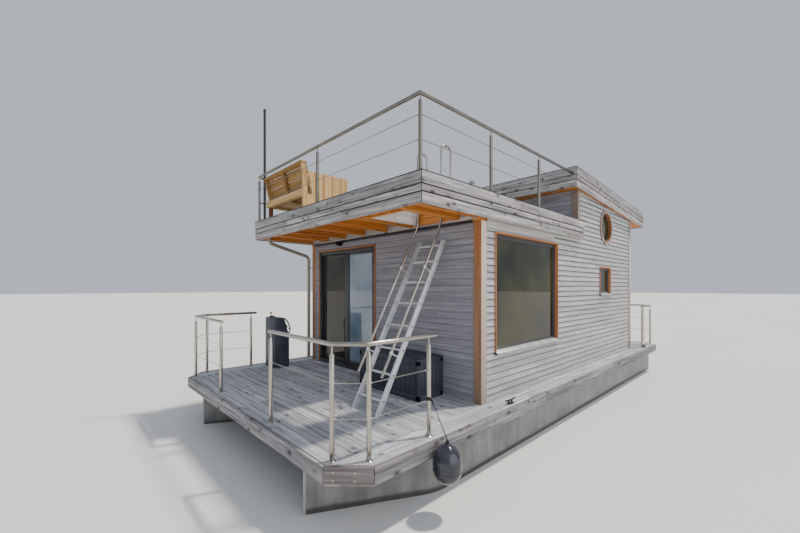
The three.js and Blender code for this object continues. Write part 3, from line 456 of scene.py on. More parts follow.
# What timbers of one kind share; a width in millimetres is the real one
greyLarch = dict(streakMm=36, fibreMm=9, knotMm=32, knotPitchMm=115, knot="#35302d", knotDark=0.85, checks=0.75,
                 bump=0.5, roughness=0.8)
stainedLaps = dict(streakMm=30, fibreMm=8, knotDark=0.6, roughness=0.78, boardLength=2.9, jointMm=4)
oiledLarch = dict(streakMm=26, fibreMm=7, knotPitchMm=190)
sawnPine = dict(streakMm=28, fibreMm=7, toneSpread=0.1, bump=0.3, roughness=0.7)
looks = {
    # silvered larch decking, open pores, most of its colour washed out, dark damp patches; its blue cast is painted sky
    # shade
    "deckGrey": dict(greyLarch, streakMm=34, dark="#6d7077", mid="#a4a8b1", light="#cccdd2", toneSpread=0.17, knotMm=30,
                     knotPitchMm=130, knot="#34312f", knotDark=0.75, patch=0.42, patchTone="#64666d", checks=0.6,
                     roughness=0.82),
    # the fascia boards: the same timber with more knots and drying checks
    "fasciaGrey": dict(greyLarch, dark="#5c5a5e", mid="#9a9799", light="#cbc7c4", toneSpread=0.15, patch=0.4,
                       patchTone="#6b6764"),
    # the board round the deck: the fascia timber painted darker for the shade it stands in
    "edgeGrey": dict(greyLarch, dark="#504f53", mid="#868489", light="#b5b2b0", toneSpread=0.16, patch=0.45,
                     patchTone="#5d5a59"),
    # the boards across the corners went pinkish brown
    "cornerBoard": dict(streakMm=34, fibreMm=9, dark="#504848", mid="#767070", light="#938c8a", toneSpread=0.05,
                        knotMm=28, knotPitchMm=150, knot="#453632", checks=0.5, bump=0.4, roughness=0.75),
    # lilac-grey stain that still shows the grain, with bold painted shadows under the laps in the gap colour
    "siding": dict(stainedLaps, dark="#8f9095", mid="#acacae", light="#c1c0bf", toneSpread=0.09, knotMm=16,
                   knotPitchMm=170, knot="#6f6b6c", patch=0.15, patchTone="#8b8f99", bump=0.35, lapFrom=0.76,
                   lapDark=1.0, lipDark=0.65, gap="#1c1b1f"),
    # the same stain painted darker and bluer for the bow-facing walls under and above the terrace, which only the sky
    # lights, with softer painted lap shadows
    "sidingShade": dict(stainedLaps, dark="#717278", mid="#8b8b93", light="#9d9da4", toneSpread=0.06, knotMm=14,
                        knotPitchMm=200, knot="#5f5c60", bump=0.3, lapFrom=0.90, lapDark=0.55, lipDark=0.3,
                        gap="#3a393e"),
    # oiled larch, sheltered: joists, lining and reveals
    "larch": dict(oiledLarch, dark="#8c4f1c", mid="#c17a35", light="#de9c55", toneSpread=0.12, knotMm=22,
                  knot="#5a3115", bump=0.3, roughness=0.6),
    # the same oil after years of weather: corner posts and trims
    "post": dict(oiledLarch, dark="#764724", mid="#9d663c", light="#b98257", toneSpread=0.06, knotMm=24,
                 knot="#573620", checks=0.5, bump=0.35, roughness=0.66, weathered=0.86, weatheredTone="#d3c6b8",
                 lowGrey=0.75, lowTone="#857568", highGrey=0.85, highTone="#7a6f6b"),
    # boards that lie flat on a sheltered face, pale and nearly knotless
    "paleBoard": dict(streakMm=40, fibreMm=10, dark="#8e8b89", mid="#a9a6a2", light="#c4c1bb", toneSpread=0.06,
                      knotMm=18, knotPitchMm=260, knot="#6b6662", bump=0.25, roughness=0.75),
    # raw sawn pine, tan where the sun has been on it
    "pine": dict(sawnPine, dark="#a07a48", mid="#c6a36d", light="#dcc094", toneSpread=0.12, knotMm=22,
                 knotPitchMm=170, knot="#6d4a28"),
    # the same pine painted darker and more orange brown for the shade on the bench's back
    "tanPine": dict(sawnPine, dark="#674922", mid="#91703f", light="#b49560", knotMm=22, knotPitchMm=170,
                    knot="#5d3d20"),
    # a stained pine leg, and the dark strips that paint shadow in the end panel's joints
    "brownPine": dict(sawnPine, dark="#5d3a26", mid="#7c5038", light="#946547"),
    # oak floorboards inside
    "oak": dict(streakMm=24, fibreMm=6, dark="#7b5a3a", mid="#96724c", light="#ab875e", toneSpread=0.1, bump=0.2,
                roughness=0.5),
    # polished stainless tube, its beige tint a painted reflection of warm surroundings; the brush lines are drawn
    # coarse so that they show
    "stainless": dict(patch=(3, 3, 3), speckMm=(3, 3, 60), dark="#97928a", light="#c3beb6", roughness=0.24,
                      roughSpread=0.07, bump=0.05, metallic=1.0),
    # the same tube up on the terrace, painted darker for the shade it shows against the sky
    "dullStainless": dict(patch=(3, 3, 3), speckMm=(3, 3, 60), dark="#6a665f", light="#8e8a83", roughness=0.32,
                          roughSpread=0.07, bump=0.05, metallic=1.0),
    # mill-finish aluminium, dulled in blotches
    "aluminium": dict(patch=(5, 5, 2), speckMm=(5, 30, 30), dark="#bfc3c8", light="#e2e5e8", roughness=0.45,
                      roughSpread=0.09, bump=0.08, metallic=0.7),
    # matt anthracite powder coat, a fine orange peel
    "powderCoat": dict(speckMm=(4, 4, 4), dark="#292a2e", light="#3a3b40", roughness=0.45, roughSpread=0.06, bump=0.12),
    # moulded polypropylene, bluish anthracite
    "moulded": dict(patch=(4, 4, 4), speckMm=(6, 6, 6), dark="#262c38", light="#3b4250", roughness=0.5,
                    roughSpread=0.07, bump=0.22),
    # black powder coat
    "blackCoat": dict(speckMm=(4, 4, 4), dark="#0f1013", light="#1e2024", roughness=0.42, roughSpread=0.06, bump=0.1),
    # weathered zinc sheet
    "zinc": dict(patch=(6, 6, 3), speckMm=(30, 30, 60), dark="#8b8f92", light="#b9bcbd", roughness=0.5,
                 roughSpread=0.1, bump=0.08, metallic=0.35),
    # grey plastic rain pipe, chalky
    "pipeGrey": dict(patch=(6, 6, 3), speckMm=(20, 20, 60), dark="#87837d", light="#a5a19a", roughness=0.55,
                     roughSpread=0.08, bump=0.06),
    # inflated vinyl, navy grey and shiny
    "vinyl": dict(patch=(8, 8, 8), speckMm=(20, 20, 20), dark="#151922", light="#2a303d", roughness=0.16,
                  roughSpread=0.06, bump=0.05, coat=0.3),
    # lacquered motor cowl
    "cowl": dict(patch=(5, 5, 5), speckMm=(2, 2, 2), dark="#16181b", light="#222529", roughness=0.28,
                 roughSpread=0.05, bump=0.03, coat=0.6),
    # painted castings
    "casting": dict(patch=(8, 8, 8), speckMm=(8, 8, 8), dark="#1b1d20", light="#2d3034", roughness=0.45,
                    roughSpread=0.08, bump=0.2),
    # roof membrane, dusty
    "membrane": dict(patch=(1.1, 1.1, 1.1), speckMm=(12, 12, 12), dark="#3a3b3d", light="#56575a", roughness=0.82,
                     roughSpread=0.08, bump=0.3),
    # a matt paper-white studio floor
    "floor": dict(patch=(0.3, 0.3, 0.3), speckMm=(80, 80, 80), dark="#cfd0d1", light="#d6d7d8", roughness=0.9,
                  roughSpread=0.02, bump=0.0),
    # hull coating of a grey epoxy, chalked and streaked
    "steel": dict(dark="#57595a", mid="#777878", light="#969593", stain="#3b392f", waterline=0.425, metallic=0.3,
                  stemY=-4.805, stem="#bdbab6"),
    # low-emissivity double glazing, dark olive as a painted reflection of trees
    "glass": dict(dark="#1d1e0f", light="#424022", clear=0.3, ior=1.42),
    # the fixed pane of the sliding door: pale blue grey, a painted reflection of the sky
    "paleGlass": dict(dark="#687a89", light="#9bafbf", clear=0.15, ior=1.75),
}
deckGrey = timberFinish("silveredLarchDecking", looks["deckGrey"])
fasciaGrey = timberFinish("silveredLarchFascia", looks["fasciaGrey"])
edgeGrey = timberFinish("silveredLarchEdge", looks["edgeGrey"])
cornerBrown = timberFinish("silveredLarchCorner", looks["cornerBoard"])
paleBoards = timberFinish("silveredLarchPale", looks["paleBoard"])
larchBoards = timberFinish("oiledLarchBoards", looks["larch"])
larchPosts = timberFinish("weatheredLarchPosts", looks["post"], upright=True)
larchTrim = timberFinish("weatheredLarchTrim", looks["post"])
pineBoards = timberFinish("sawnPine", looks["pine"])
tanPine = timberFinish("resinousPine", looks["tanPine"])
brownPine = timberFinish("stainedPine", looks["brownPine"])
oakFloor = timberFinish("oakFloorboards", looks["oak"])
stainless = smoothFinish("brushedStainless", looks["stainless"])
dullStainless = smoothFinish("weatheredStainless", looks["dullStainless"])
aluminium = smoothFinish("millAluminium", looks["aluminium"])
powderCoat = smoothFinish("anthracitePowderCoat", looks["powderCoat"])
moulded = smoothFinish("mouldedPolypropylene", looks["moulded"])
blackCoat = smoothFinish("blackPowderCoat", looks["blackCoat"])
zinc = smoothFinish("weatheredZinc", looks["zinc"])
pipeGrey = smoothFinish("greyRainPipe", looks["pipeGrey"])
vinyl = smoothFinish("inflatedVinyl", looks["vinyl"])
cowlLacquer = smoothFinish("lacqueredCowl", looks["cowl"])
casting = smoothFinish("paintedCasting", looks["casting"])
membrane = smoothFinish("roofMembrane", looks["membrane"])
hullSteel = hullFinish("coatedHullSteel", looks["steel"])
glazing = glassFinish("coatedGlazing", looks["glass"])
skyReflectGlazing = glassFinish("paleCoatedGlazing", looks["paleGlass"])
darkRope = ropeFinish("laidRope", "#121215", "#2d2d32")
print("finishes made")

# ---- Camera, studio and light
cameraPlan = {"place": (4.625, -6.4965, 2.528), "turn": 46.55, "lens": 16.54, "shiftY": 0.0256}
cameraData = bpy.data.cameras.new("bowQuarter")
cameraData.sensor_width = 36
cameraData.lens = cameraPlan["lens"]
cameraData.shift_y = cameraPlan["shiftY"]
cameraData.clip_end = 500
camera = bpy.data.objects.new("bowQuarter", cameraData)
camera.location = cameraPlan["place"]
camera.rotation_euler = (math.radians(90), 0, math.radians(cameraPlan["turn"]))
bpy.context.scene.collection.objects.link(camera)
bpy.context.scene.camera = camera

studio = {"waterline": 0.42, "reach": 150, "sky": "#dfe7f2", "skyStrength": 0.76,
          "lamps": (("softSun", (0.2, 0.45, 1.0), 4.2, 3, "#fff3e2"),
                    ("portFill", (1.0, 0.06, 0.3), 1.8, 70, "#f6f4f0"))}
floorShape = bmesh.new()
bmesh.ops.create_grid(floorShape, x_segments=1, y_segments=1, size=studio["reach"],
                      matrix=Matrix.Translation((0, 0, studio["waterline"])))
floorMesh = bpy.data.meshes.new("studioFloor")
floorShape.to_mesh(floorMesh)
floorShape.free()
floorMesh.materials.append(smoothFinish("paleFloor", looks["floor"]))
studioFloor = bpy.data.objects.new("studioFloor", floorMesh)
bpy.context.scene.collection.objects.link(studioFloor)

world = bpy.data.worlds.new("studioSky")
world.use_nodes = True
backdrop = world.node_tree.nodes["Background"]
backdrop.inputs[0].default_value = linearColour(studio["sky"])
backdrop.inputs[1].default_value = studio["skyStrength"]
bpy.context.scene.world = world
for name, toLamp, power, spread, tint in studio["lamps"]:  # a high sun from astern, a wide soft lamp to port
    lampData = bpy.data.lights.new(name, "SUN")
    lampData.energy = power
    lampData.angle = math.radians(spread)
    lampData.color = linearColour(tint)[:3]
    lamp = bpy.data.objects.new(name, lampData)
    lamp.rotation_euler = Vector(toLamp).to_track_quat("Z", "Y").to_euler()
    bpy.context.scene.collection.objects.link(lamp)
print("camera and studio ready")

# ---- Fender and its lanyard, the only free cord
lanyard = {"radius": 0.006, "strands": 3, "layLength": 0.04,
           "route": [(2.2313, -3.820, 1.440), (2.2413, -3.820, 1.440), (2.2553, -3.821, 1.432),
                     (2.2693, -3.823, 1.410), (2.345, -3.834, 1.292), (2.425, -3.845, 1.178),
                     (2.4558, -3.850, 1.134), (2.4678, -3.850, 1.1173), (2.4678, -3.850, 1.1013)],
           "tail": [(2.2385, -3.834, 1.452), (2.246, -3.822, 1.440), (2.2445, -3.808, 1.426),
                    (2.240, -3.803, 1.395), (2.238, -3.802, 1.362)],
           "post": (2.21, -3.82), "postRadius": 0.021, "hitch": (1.419, 1.452), "hitchTurns": 3}
fender = {"centre": (2.4678, -3.85, 0.913), "eye": 0.178, "loop": (0.013, 0.012), "wrapRadius": 0.009,
          "profile": [(0, -0.190), (0.035, -0.188), (0.070, -0.176), (0.100, -0.152), (0.122, -0.115),
                      (0.134, -0.070), (0.1375, -0.025), (0.136, 0.020), (0.128, 0.060), (0.112, 0.094),
                      (0.090, 0.122), (0.066, 0.142), (0.045, 0.156), (0.031, 0.165), (0.026, 0.174),
                      (0.022, 0.180), (0, 0.181)],
          "seam": [(0.1340, -0.071), (0.1372, -0.068), (0.1372, -0.062), (0.1350, -0.060)]}


# Points of a smooth line through a few given ones
def smoothLine(points, steps):
    line = [Vector(point) for point in points]
    ends = [line[0] * 2 - line[1]] + line + [line[-1] * 2 - line[-2]]
    path = []
    for a, b, c, d in zip(ends, ends[1:], ends[2:], ends[3:]):
        for i in range(steps):
            t = i / steps
            path.append(0.5 * ((2 * b) + (c - a) * t + (2 * a - 5 * b + 4 * c - d) * t ** 2
                               + (3 * b - a - 3 * c + d) * t ** 3))
    return path + [line[-1]]


# Laid rope: a section of strands that turns as it is drawn along the line
def ropeAlong(path, radius, strands, layLength, sides=18):
    part = bmesh.new()
    way = (path[1] - path[0]).normalized()
    turn = way.to_track_quat("Z", "Y").to_matrix().to_4x4()
    bmesh.ops.create_circle(part, cap_ends=False, radius=radius, segments=sides,
                            matrix=Matrix.Translation(path[0]) @ turn)
    for i, vert in enumerate(part.verts):  # lobes, one for each strand
        dip = 1 - 0.2 * abs(math.sin(math.pi * strands * i / sides))
        vert.co = path[0] + (vert.co - path[0]) * dip
    ring = ends = part.edges[:]
    for here, there, after in zip(path, path[1:], path[2:] + [path[-1] * 2 - path[-2]]):
        made = bmesh.ops.extrude_edge_only(part, edges=ring)
        fresh = newVerts(made)
        nextWay = (after - here).normalized()
        bend = way.rotation_difference(nextWay).to_matrix().to_4x4()
        twist = Matrix.Rotation(math.tau * (there - here).length / layLength, 4, nextWay)
        bmesh.ops.transform(part, matrix=Matrix.Translation(there) @ twist @ bend @ Matrix.Translation(-here),
                            verts=fresh)
        freshSet, way = set(fresh), nextWay
        ring = [item for item in made["geom"] if isinstance(item, bmesh.types.BMEdge)
                and all(vert in freshSet for vert in item.verts)]
    for rim in (ends, ring):
        bmesh.ops.edgeloop_fill(part, edges=rim)
    bmesh.ops.recalc_face_normals(part, faces=part.faces[:])
    return part


# A line that winds up round a post
def coil(middle, radius, low, high, turns, steps):
    count, turn = turns * steps, math.tau / steps
    return [Vector((middle[0] + radius * math.cos(i * turn), middle[1] + radius * math.sin(i * turn),
                    low + (high - low) * i / count)) for i in range(count + 1)]


lanyardPath = smoothLine(lanyard["route"], 12)
lanyardRope = ropeAlong(lanyardPath, lanyard["radius"], lanyard["strands"], lanyard["layLength"])
lanyardPiece = makePiece("fenderLanyard", [lanyardRope], darkRope, "rope", replaces=["fender_lanyard"], sharp=60)

# the hitch round the rail post with its tail, and the knot at the fender's eye
hitch = coil(lanyard["post"], lanyard["postRadius"] + lanyard["radius"] + seat, *lanyard["hitch"],
             lanyard["hitchTurns"], 20)
hitchPiece = makePiece("lanyardHitch", [
    ropeAlong(path, lanyard["radius"] * share, lanyard["strands"], lanyard["layLength"])
    for path, share in ((hitch, 1.0), (smoothLine(lanyard["tail"], 6), 0.95))], darkRope, "rope", sharp=60)
eyeX, eyeY, eyeZ = fender["centre"][0], fender["centre"][1], fender["centre"][2] + fender["eye"]
loopWide, loopHigh = fender["loop"]
loop = [Vector((eyeX + loopWide * math.cos(math.tau * i / 16), eyeY,
                eyeZ + 0.009 + loopHigh * math.sin(math.tau * i / 16))) for i in range(17)]
wrap = coil((eyeX, eyeY), fender["wrapRadius"], eyeZ + 0.013, eyeZ + 0.027, 2, 12)
knotPiece = makePiece("fenderKnot", [ropeAlong(path, radius, 3, 0.03) for path, radius in (
    (loop, 0.0055), (wrap, 0.005))], darkRope, "rope", sharp=60)
makePiece("fenderBody", [turned(fender[part], 40, Matrix.Translation(fender["centre"]))
                         for part in ("profile", "seam")], vinyl, "fender_vinyl", replaces=["fender"])
print("fender hung")

# ---- Pontoons: welded plate, a rounded fold where the bow starts, beads at the plate joints
pontoon = {"centre": 1.55, "half": 0.6, "height": 0.9, "bow": -4.81, "shoulder": -3.63, "stern": 4.7,
           "foldRadius": 0.14, "seams": (-2.1, -0.1, 1.9, 3.9)}
for name, side in (("port", 1), ("starboard", -1)):
    middle = side * pontoon["centre"]
    outline = [(middle, pontoon["bow"]), (middle + pontoon["half"], pontoon["shoulder"]),
               (middle + pontoon["half"], pontoon["stern"]), (middle - pontoon["half"], pontoon["stern"]),
               (middle - pontoon["half"], pontoon["shoulder"])]
    part = solid([(x, y, 0) for x, y in outline], (0, 0, pontoon["height"]))
    folds = [edge for edge in part.edges if abs(edge.verts[0].co.y - edge.verts[1].co.y) < 1e-6
             and abs(edge.verts[0].co.x - edge.verts[1].co.x) < 1e-6
             and abs(edge.verts[0].co.y - pontoon["shoulder"]) < 1e-3]
    bmesh.ops.bevel(part, geom=folds, offset=pontoon["foldRadius"], offset_type="OFFSET", segments=8, profile=0.5,
                    affect="EDGES", material=-1)
    sharpEdges = [edge for edge in part.edges if edge.calc_face_angle(0) > 0.4]
    bmesh.ops.bevel(part, geom=sharpEdges, offset=0.006, offset_type="OFFSET", segments=2, profile=0.5,
                    affect="EDGES", material=-1)
    whole = startPiece()
    addPart(whole, part)
    for y in pontoon["seams"]:  # weld beads
        for x in (middle - pontoon["half"] - 0.0015, middle + pontoon["half"] - 0.0025):
            addPart(whole, box((x, y - 0.004, 0.02), (x + 0.004, y + 0.004, 0.88), 0.001, 1))
    stem = [(middle, pontoon["bow"] + 0.008, 0.01), (middle, pontoon["bow"] + 0.008, pontoon["height"] - 0.004)]
    addPart(whole, tube(stem, 0.011, 12))
    finishPiece("pontoonShell" + name.capitalize(), whole, hullSteel, "hull_steel", replaces=["pontoon_" + name])
dressNode("deck_frame", hullSteel)
print("pontoons welded")

# ---- Deck: boards across the boat between two long boards on each side
deckPlan = {"boardThick": 0.028, "gap": 0.005, "edge": 0.0025, "frontBoards": 15, "sternBoards": 8,
            "sideBoards": 2, "sideInner": 2.026, "sideLengths": 4, "joints": (-0.75, 0.75, 0.0), "stagger": 0.6,
            "screwRows": (-1.6, -0.75, 0.0, 0.75, 1.6), "screwsAlong": 17, "screwIn": 0.03, "sideScrewIn": 0.028}
inset = hull["edgeThick"] + 0.011  # a dark joint between the planks and the board round them
deckHalf, deckEnd = hull["half"] - inset, hull["end"] - inset
chamferPlace = hull["end"] + hull["half"] - hull["chamfer"] - inset * math.sqrt(2)  # where x + y meets the cut


def chamferCuts(end):  # planes that take off both corners at one end
    return [((0, end * chamferPlace, 0), Vector((side, end, 0)).normalized()) for side in (1, -1)]


def deckBoard(x0, x1, y0, y1, z0, z1, cuts=()):
    long = (1, 0, 0) if x1 - x0 > y1 - y0 else (0, 1, 0)
    corners = [(x0, y0, z0), (x1, y0, z0), (x1, y1, z0), (x0, y1, z0)]
    part = solid(corners, (0, 0, z1 - z0), deckPlan["edge"], 1, cuts)
    return grained(part, long, Vector((0, 0, 1)).cross(Vector(long)))


boards, screws = startPiece(), startPiece()
boardLow, boardHigh = hull["deckTop"] - deckPlan["boardThick"], hull["deckTop"]
gap = deckPlan["gap"]


def addScrew(x, y):
    if abs(x) + abs(y) < chamferPlace - 0.03:
        addPart(screws, boltHead((x, y, boardHigh - 0.0012), (0, 0, 1), 0.0045, 0.0016, 6))


# Boards across, from one y to another, each in two lengths with a staggered joint; skip leaves the motor's well open
def crossBoards(y0, y1, count, half, end, skip=None):
    pitch = (y1 - y0) / count
    for i in range(count):
        low, high = y0 + i * pitch + gap / 2, y0 + (i + 1) * pitch - gap / 2
        joint = deckPlan["joints"][i % 3]
        spans = [(-half, joint - gap / 4), (joint + gap / 4, half)]
        clear = 0.0
        if skip and high > skip["front"]:
            spans = [(-half, -skip["half"]), (skip["half"], half)]
            clear = skip["half"] + 0.02
        for x0, x1 in spans:
            addPart(boards, deckBoard(x0, x1, low, high, boardLow, boardHigh, chamferCuts(end)))
        for x in deckPlan["screwRows"]:
            for y in (low + deckPlan["screwIn"], high - deckPlan["screwIn"]):
                if abs(x) >= clear:
                    addScrew(x, y)


wellSkip = {"half": hull["wellHalf"] + inset, "front": hull["wellFront"] - inset}
crossHalf = deckPlan["sideInner"] - gap
crossBoards(-deckEnd, cabin["front"] + 0.006, deckPlan["frontBoards"], crossHalf, -1)
crossBoards(cabin["rear"], deckEnd, deckPlan["sternBoards"], crossHalf, 1, wellSkip)
sideWidth = (deckHalf - deckPlan["sideInner"]) / deckPlan["sideBoards"]
sideLength = 2 * deckEnd / deckPlan["sideLengths"]
for side in (1, -1):
    for row in range(deckPlan["sideBoards"]):
        x0, x1 = sorted((side * (deckPlan["sideInner"] + row * sideWidth + (gap / 2 if row else 0)),
                         side * (deckPlan["sideInner"] + (row + 1) * sideWidth - (gap / 2 if row == 0 else 0))))
        joints = [-deckEnd + i * sideLength + (deckPlan["stagger"] if row and 0 < i < deckPlan["sideLengths"] else 0)
                  for i in range(deckPlan["sideLengths"] + 1)]
        for y0, y1 in zip(joints, joints[1:]):
            addPart(boards, deckBoard(x0, x1, y0 + gap / 4, y1 - gap / 4, boardLow, boardHigh,
                                      chamferCuts(-1) + chamferCuts(1)))
        for i in range(1, deckPlan["screwsAlong"]):
            for x in (x0 + deckPlan["sideScrewIn"], x1 - deckPlan["sideScrewIn"]):
                addScrew(x, -deckEnd + i * 2 * deckEnd / deckPlan["screwsAlong"])
finishPiece("deckPlanks", boards, deckGrey, "deck_timber", replaces=["deck_boards"])
finishPiece("deckScrews", screws, stainless, "stainless")

# cabin floor, laid between the side decks
cabinFloor = {"boards": 20, "joints": (1.44, 3.2, 2.24), "rearClear": 0.012}
floorPitch = 2 * crossHalf / cabinFloor["boards"]
parts = []
for i in range(cabinFloor["boards"]):
    x0 = -crossHalf + i * floorPitch
    middle = cabin["front"] + 0.01 + cabinFloor["joints"][i % 3]
    for y0, y1 in ((cabin["front"] + 0.0062, middle), (middle + 0.0005, cabin["rear"] - cabinFloor["rearClear"])):
        parts.append(deckBoard(x0, x0 + floorPitch - 0.0006, y0, y1, boardLow, boardHigh - 0.0001))
makePiece("cabinFloorboards", parts, oakFloor, "pine")

# the fascia board round the deck, mitred at its corners, with bolts through the corner boards
edgeRun = [(-2.03, -4.905), (2.03, -4.905), (2.33, -4.605), (2.33, 4.605), (2.03, 4.905), (0.38, 4.905),
           (0.38, 4.06), (-0.38, 4.06), (-0.38, 4.905), (-2.03, 4.905), (-2.33, 4.605), (-2.33, -4.605)]


def insetPoint(run, i, distance):
    before, here, after = (Vector(run[(i + k) % len(run)]) for k in (-1, 0, 1))
    a, b = (here - before).normalized(), (after - here).normalized()
    share = distance / (1 + a.dot(b))
    return Vector((here.x - (a.y + b.y) * share, here.y + (a.x + b.x) * share))


edgePlan = {"boardLength": 3.1, "round": 0.004, "joint": 0.0015, "cornerJoint": 0.004,
            "cornerBolts": {"spots": [(s, z) for s in (0.2, 0.62) for z in (0.035, 0.1)], "radius": 0.009, "sunk": 0.0},
            "sideBolts": {"spots": [(j / 8, 0.04) for j in range(1, 8)], "radius": 0.005, "sunk": 0.0039}}
edgeBoards, cornerBoards, edgeBolts = startPiece(), startPiece(), startPiece()
edgeLow = hull["deckTop"] - hull["edgeHeight"]
for i, start in enumerate(edgeRun):
    k = (i + 1) % len(edgeRun)
    outer = [Vector(start), Vector(edgeRun[k])]
    inner = [insetPoint(edgeRun, j, hull["edgeThick"]) for j in (i, k)]
    reach = outer[1] - outer[0]
    length, across = reach.length, abs(reach.x * reach.y) > 0.01
    count = 1 if length < 1.8 else round(length / edgePlan["boardLength"])
    cut = edgePlan["cornerJoint" if across else "joint"] / length
    for k in range(count):
        t0, t1 = k / count + cut, (k + 1) / count - cut
        quad = [outer[0].lerp(outer[1], t0), outer[0].lerp(outer[1], t1), inner[0].lerp(inner[1], t1),
                inner[0].lerp(inner[1], t0)]
        part = solid([(x, y, edgeLow) for x, y in quad], (0, 0, hull["edgeHeight"]), edgePlan["round"], 2)
        addPart(cornerBoards if across else edgeBoards, grained(part, (*reach, 0)))
    along = reach.normalized()
    out = Vector((along.y, -along.x))
    bolts = edgePlan["cornerBolts" if across else "sideBolts"]
    for share, z in bolts["spots"] if across or length > 4 else ():
        place = outer[0].lerp(outer[1], share) - out * bolts["sunk"]
        addPart(edgeBolts, boltHead((place.x, place.y, edgeLow + z), (*out, 0), bolts["radius"], 0.004))
finishPiece("deckEdgeBoards", edgeBoards, edgeGrey, "fascia_timber", replaces=["deck_edge"])
finishPiece("deckCornerBoards", cornerBoards, cornerBrown, "fascia_timber")
finishPiece("deckEdgeBolts", edgeBolts, stainless, "stainless")
print("deck laid")

# ---- Walls, posts and glass keep their CAD shape
sidingLook = looks["siding"]
# the front and clerestory walls take the shaded copy of the siding: painted shade
dressNode("wall_front", sidingFinish("stainedSidingFront", looks["sidingShade"], "x", (1, 1)))
dressNode("wall_clerestory", sidingFinish("stainedSidingUpper", looks["sidingShade"], "x", (1, 1)))
dressNode("wall_rear", sidingFinish("stainedSidingRear", sidingLook, "x", (1, -1)))
dressNode("wall_port", sidingFinish("stainedSidingPort", sidingLook, "y", (0, -1)))
dressNode("wall_starboard", sidingFinish("stainedSidingStarboard", sidingLook, "y", (0, 1)))
for end in ("front", "rear", "upper"):
    for name in ("port", "starboard"):
        dressNode(f"{end}_post_{name}", larchPosts)
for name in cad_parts:
    if name.endswith("_pane") or "_pane_" in name:
        dressNode(name, skyReflectGlazing if name == "door_fixed_pane" else glazing)

# ---- Roofs
# fascia of three boards, each course set a little proud of the one below, under a dark capping, with black painted
# shadow behind its joints
fasciaPlan = {"thick": 0.03, "joints": (0.0, 0.37, 0.61, 1.0), "gap": 0.013, "step": 0.004, "edge": 0.007,
              "capHeight": 0.012, "capWidth": 0.036, "corner": 0.004, "splits": (0.66, 0.3, 0.58), "postInset": 0.0195,
              "postHalf": 0.0095, "strip": (0.022, 0.0295), "stripShort": 0.03}


def fasciaCourses(whole, capsAndShadows, run, bottom, height, closed, place=None):
    # run holds the plan corners counterclockwise, seen from above
    count, plan = len(run), fasciaPlan

    def quadAt(i, near, far):  # one side's plan, mitred at corners and square at open ends
        quad = []
        for j, inward in ((i, near), ((i + 1) % count, near), ((i + 1) % count, far), (i, far)):
            if closed or 0 < j < count - 1:
                quad.append(insetPoint(run, j, inward))
            else:
                before, after = (run[0], run[1]) if j == 0 else (run[-2], run[-1])
                way = (Vector(after) - Vector(before)).normalized()
                quad.append(Vector(run[j]) + Vector((-way.y, way.x)) * inward)
        return quad

    top = bottom + height - plan["capHeight"] + 0.002
    half = plan["postHalf"]
    for j in range(count):  # black block in each corner, behind the open mitre: painted shadow that shows dark through the joint
        if closed or 0 < j < count - 1:
            middle = insetPoint(run, j, plan["postInset"])
            addPart(capsAndShadows, box((middle.x - half, middle.y - half, bottom + 0.004),
                              (middle.x + half, middle.y + half, top)), place)
    for i in range(count if closed else count - 1):
        for course in range(3):
            z0, z1 = (bottom + (top - bottom) * joint for joint in plan["joints"][course:course + 2])
            z0, z1 = z0 + (plan["gap"] / 2 if course else 0), z1 - (plan["gap"] / 2 if course < 2 else 0)
            quad = quadAt(i, (2 - course) * plan["step"], plan["thick"])
            along = quad[1] - quad[0]
            split = plan["splits"][course]
            for ends in ((0.0, split), (split, 1.0)) if along.length > 3 else ((0.0, 1.0),):
                trims = [(plan["corner"] if t in (0.0, 1.0) else 0.001) / along.length for t in ends]
                t0, t1 = ends[0] + trims[0], ends[1] - trims[1]
                corners = [quad[0].lerp(quad[1], t0), quad[0].lerp(quad[1], t1), quad[3].lerp(quad[2], t1),
                           quad[3].lerp(quad[2], t0)]
                part = solid([(p.x, p.y, z0) for p in corners], (0, 0, z1 - z0), plan["edge"], 3)
                addPart(whole, grained(part, (along.x, along.y, 0)), place)
            if course < 2:  # black strip behind the joint, painted shadow that shows dark through it, short of the corner blocks
                middle = (quad[0] + quad[1]) / 2
                strip = [p + (middle - p).normalized() * plan["stripShort"] for p in quadAt(i, *plan["strip"])]
                addPart(capsAndShadows, solid([(p.x, p.y, z1 + 0.0002) for p in strip], (0, 0, plan["gap"] - 0.0004)), place)
        addPart(capsAndShadows, solid([(p.x, p.y, top + 0.0002) for p in quadAt(i, 0.0, plan["capWidth"])],
                            (0, 0, plan["capHeight"] - 0.0022), 0.001, 1), place)

whole, capsAndShadows = startPiece(), startPiece()
half = terrace["half"]
terraceRun = [(-half, terrace["fasciaRear"]), (-half, terrace["front"]), (half, terrace["front"]),
              (half, terrace["fasciaRear"])]
fasciaCourses(whole, capsAndShadows, terraceRun, terrace["bottom"], terrace["top"] - terrace["bottom"], False)
finishPiece("terraceFasciaBoards", whole, fasciaGrey, "fascia_timber", replaces=["terrace_fascia"])
finishPiece("terraceCapping", capsAndShadows, blackCoat, "black_metal")

shear = Matrix.Identity(4)  # the upper roof falls to the stern
shear[2][1] = -upper["pitch"]
shear[2][3] = upper["pitch"] * upper["front"]
whole, capsAndShadows = startPiece(), startPiece()
half = upper["half"]
upperRun = [(-half, upper["front"]), (half, upper["front"]), (half, upper["rear"]), (-half, upper["rear"])]
fasciaCourses(whole, capsAndShadows, upperRun, upper["top"] - upper["height"], upper["height"], True, shear)
finishPiece("upperFasciaBoards", whole, fasciaGrey, "fascia_timber", replaces=["upper_fascia"])
finishPiece("upperCapping", capsAndShadows, blackCoat, "black_metal")

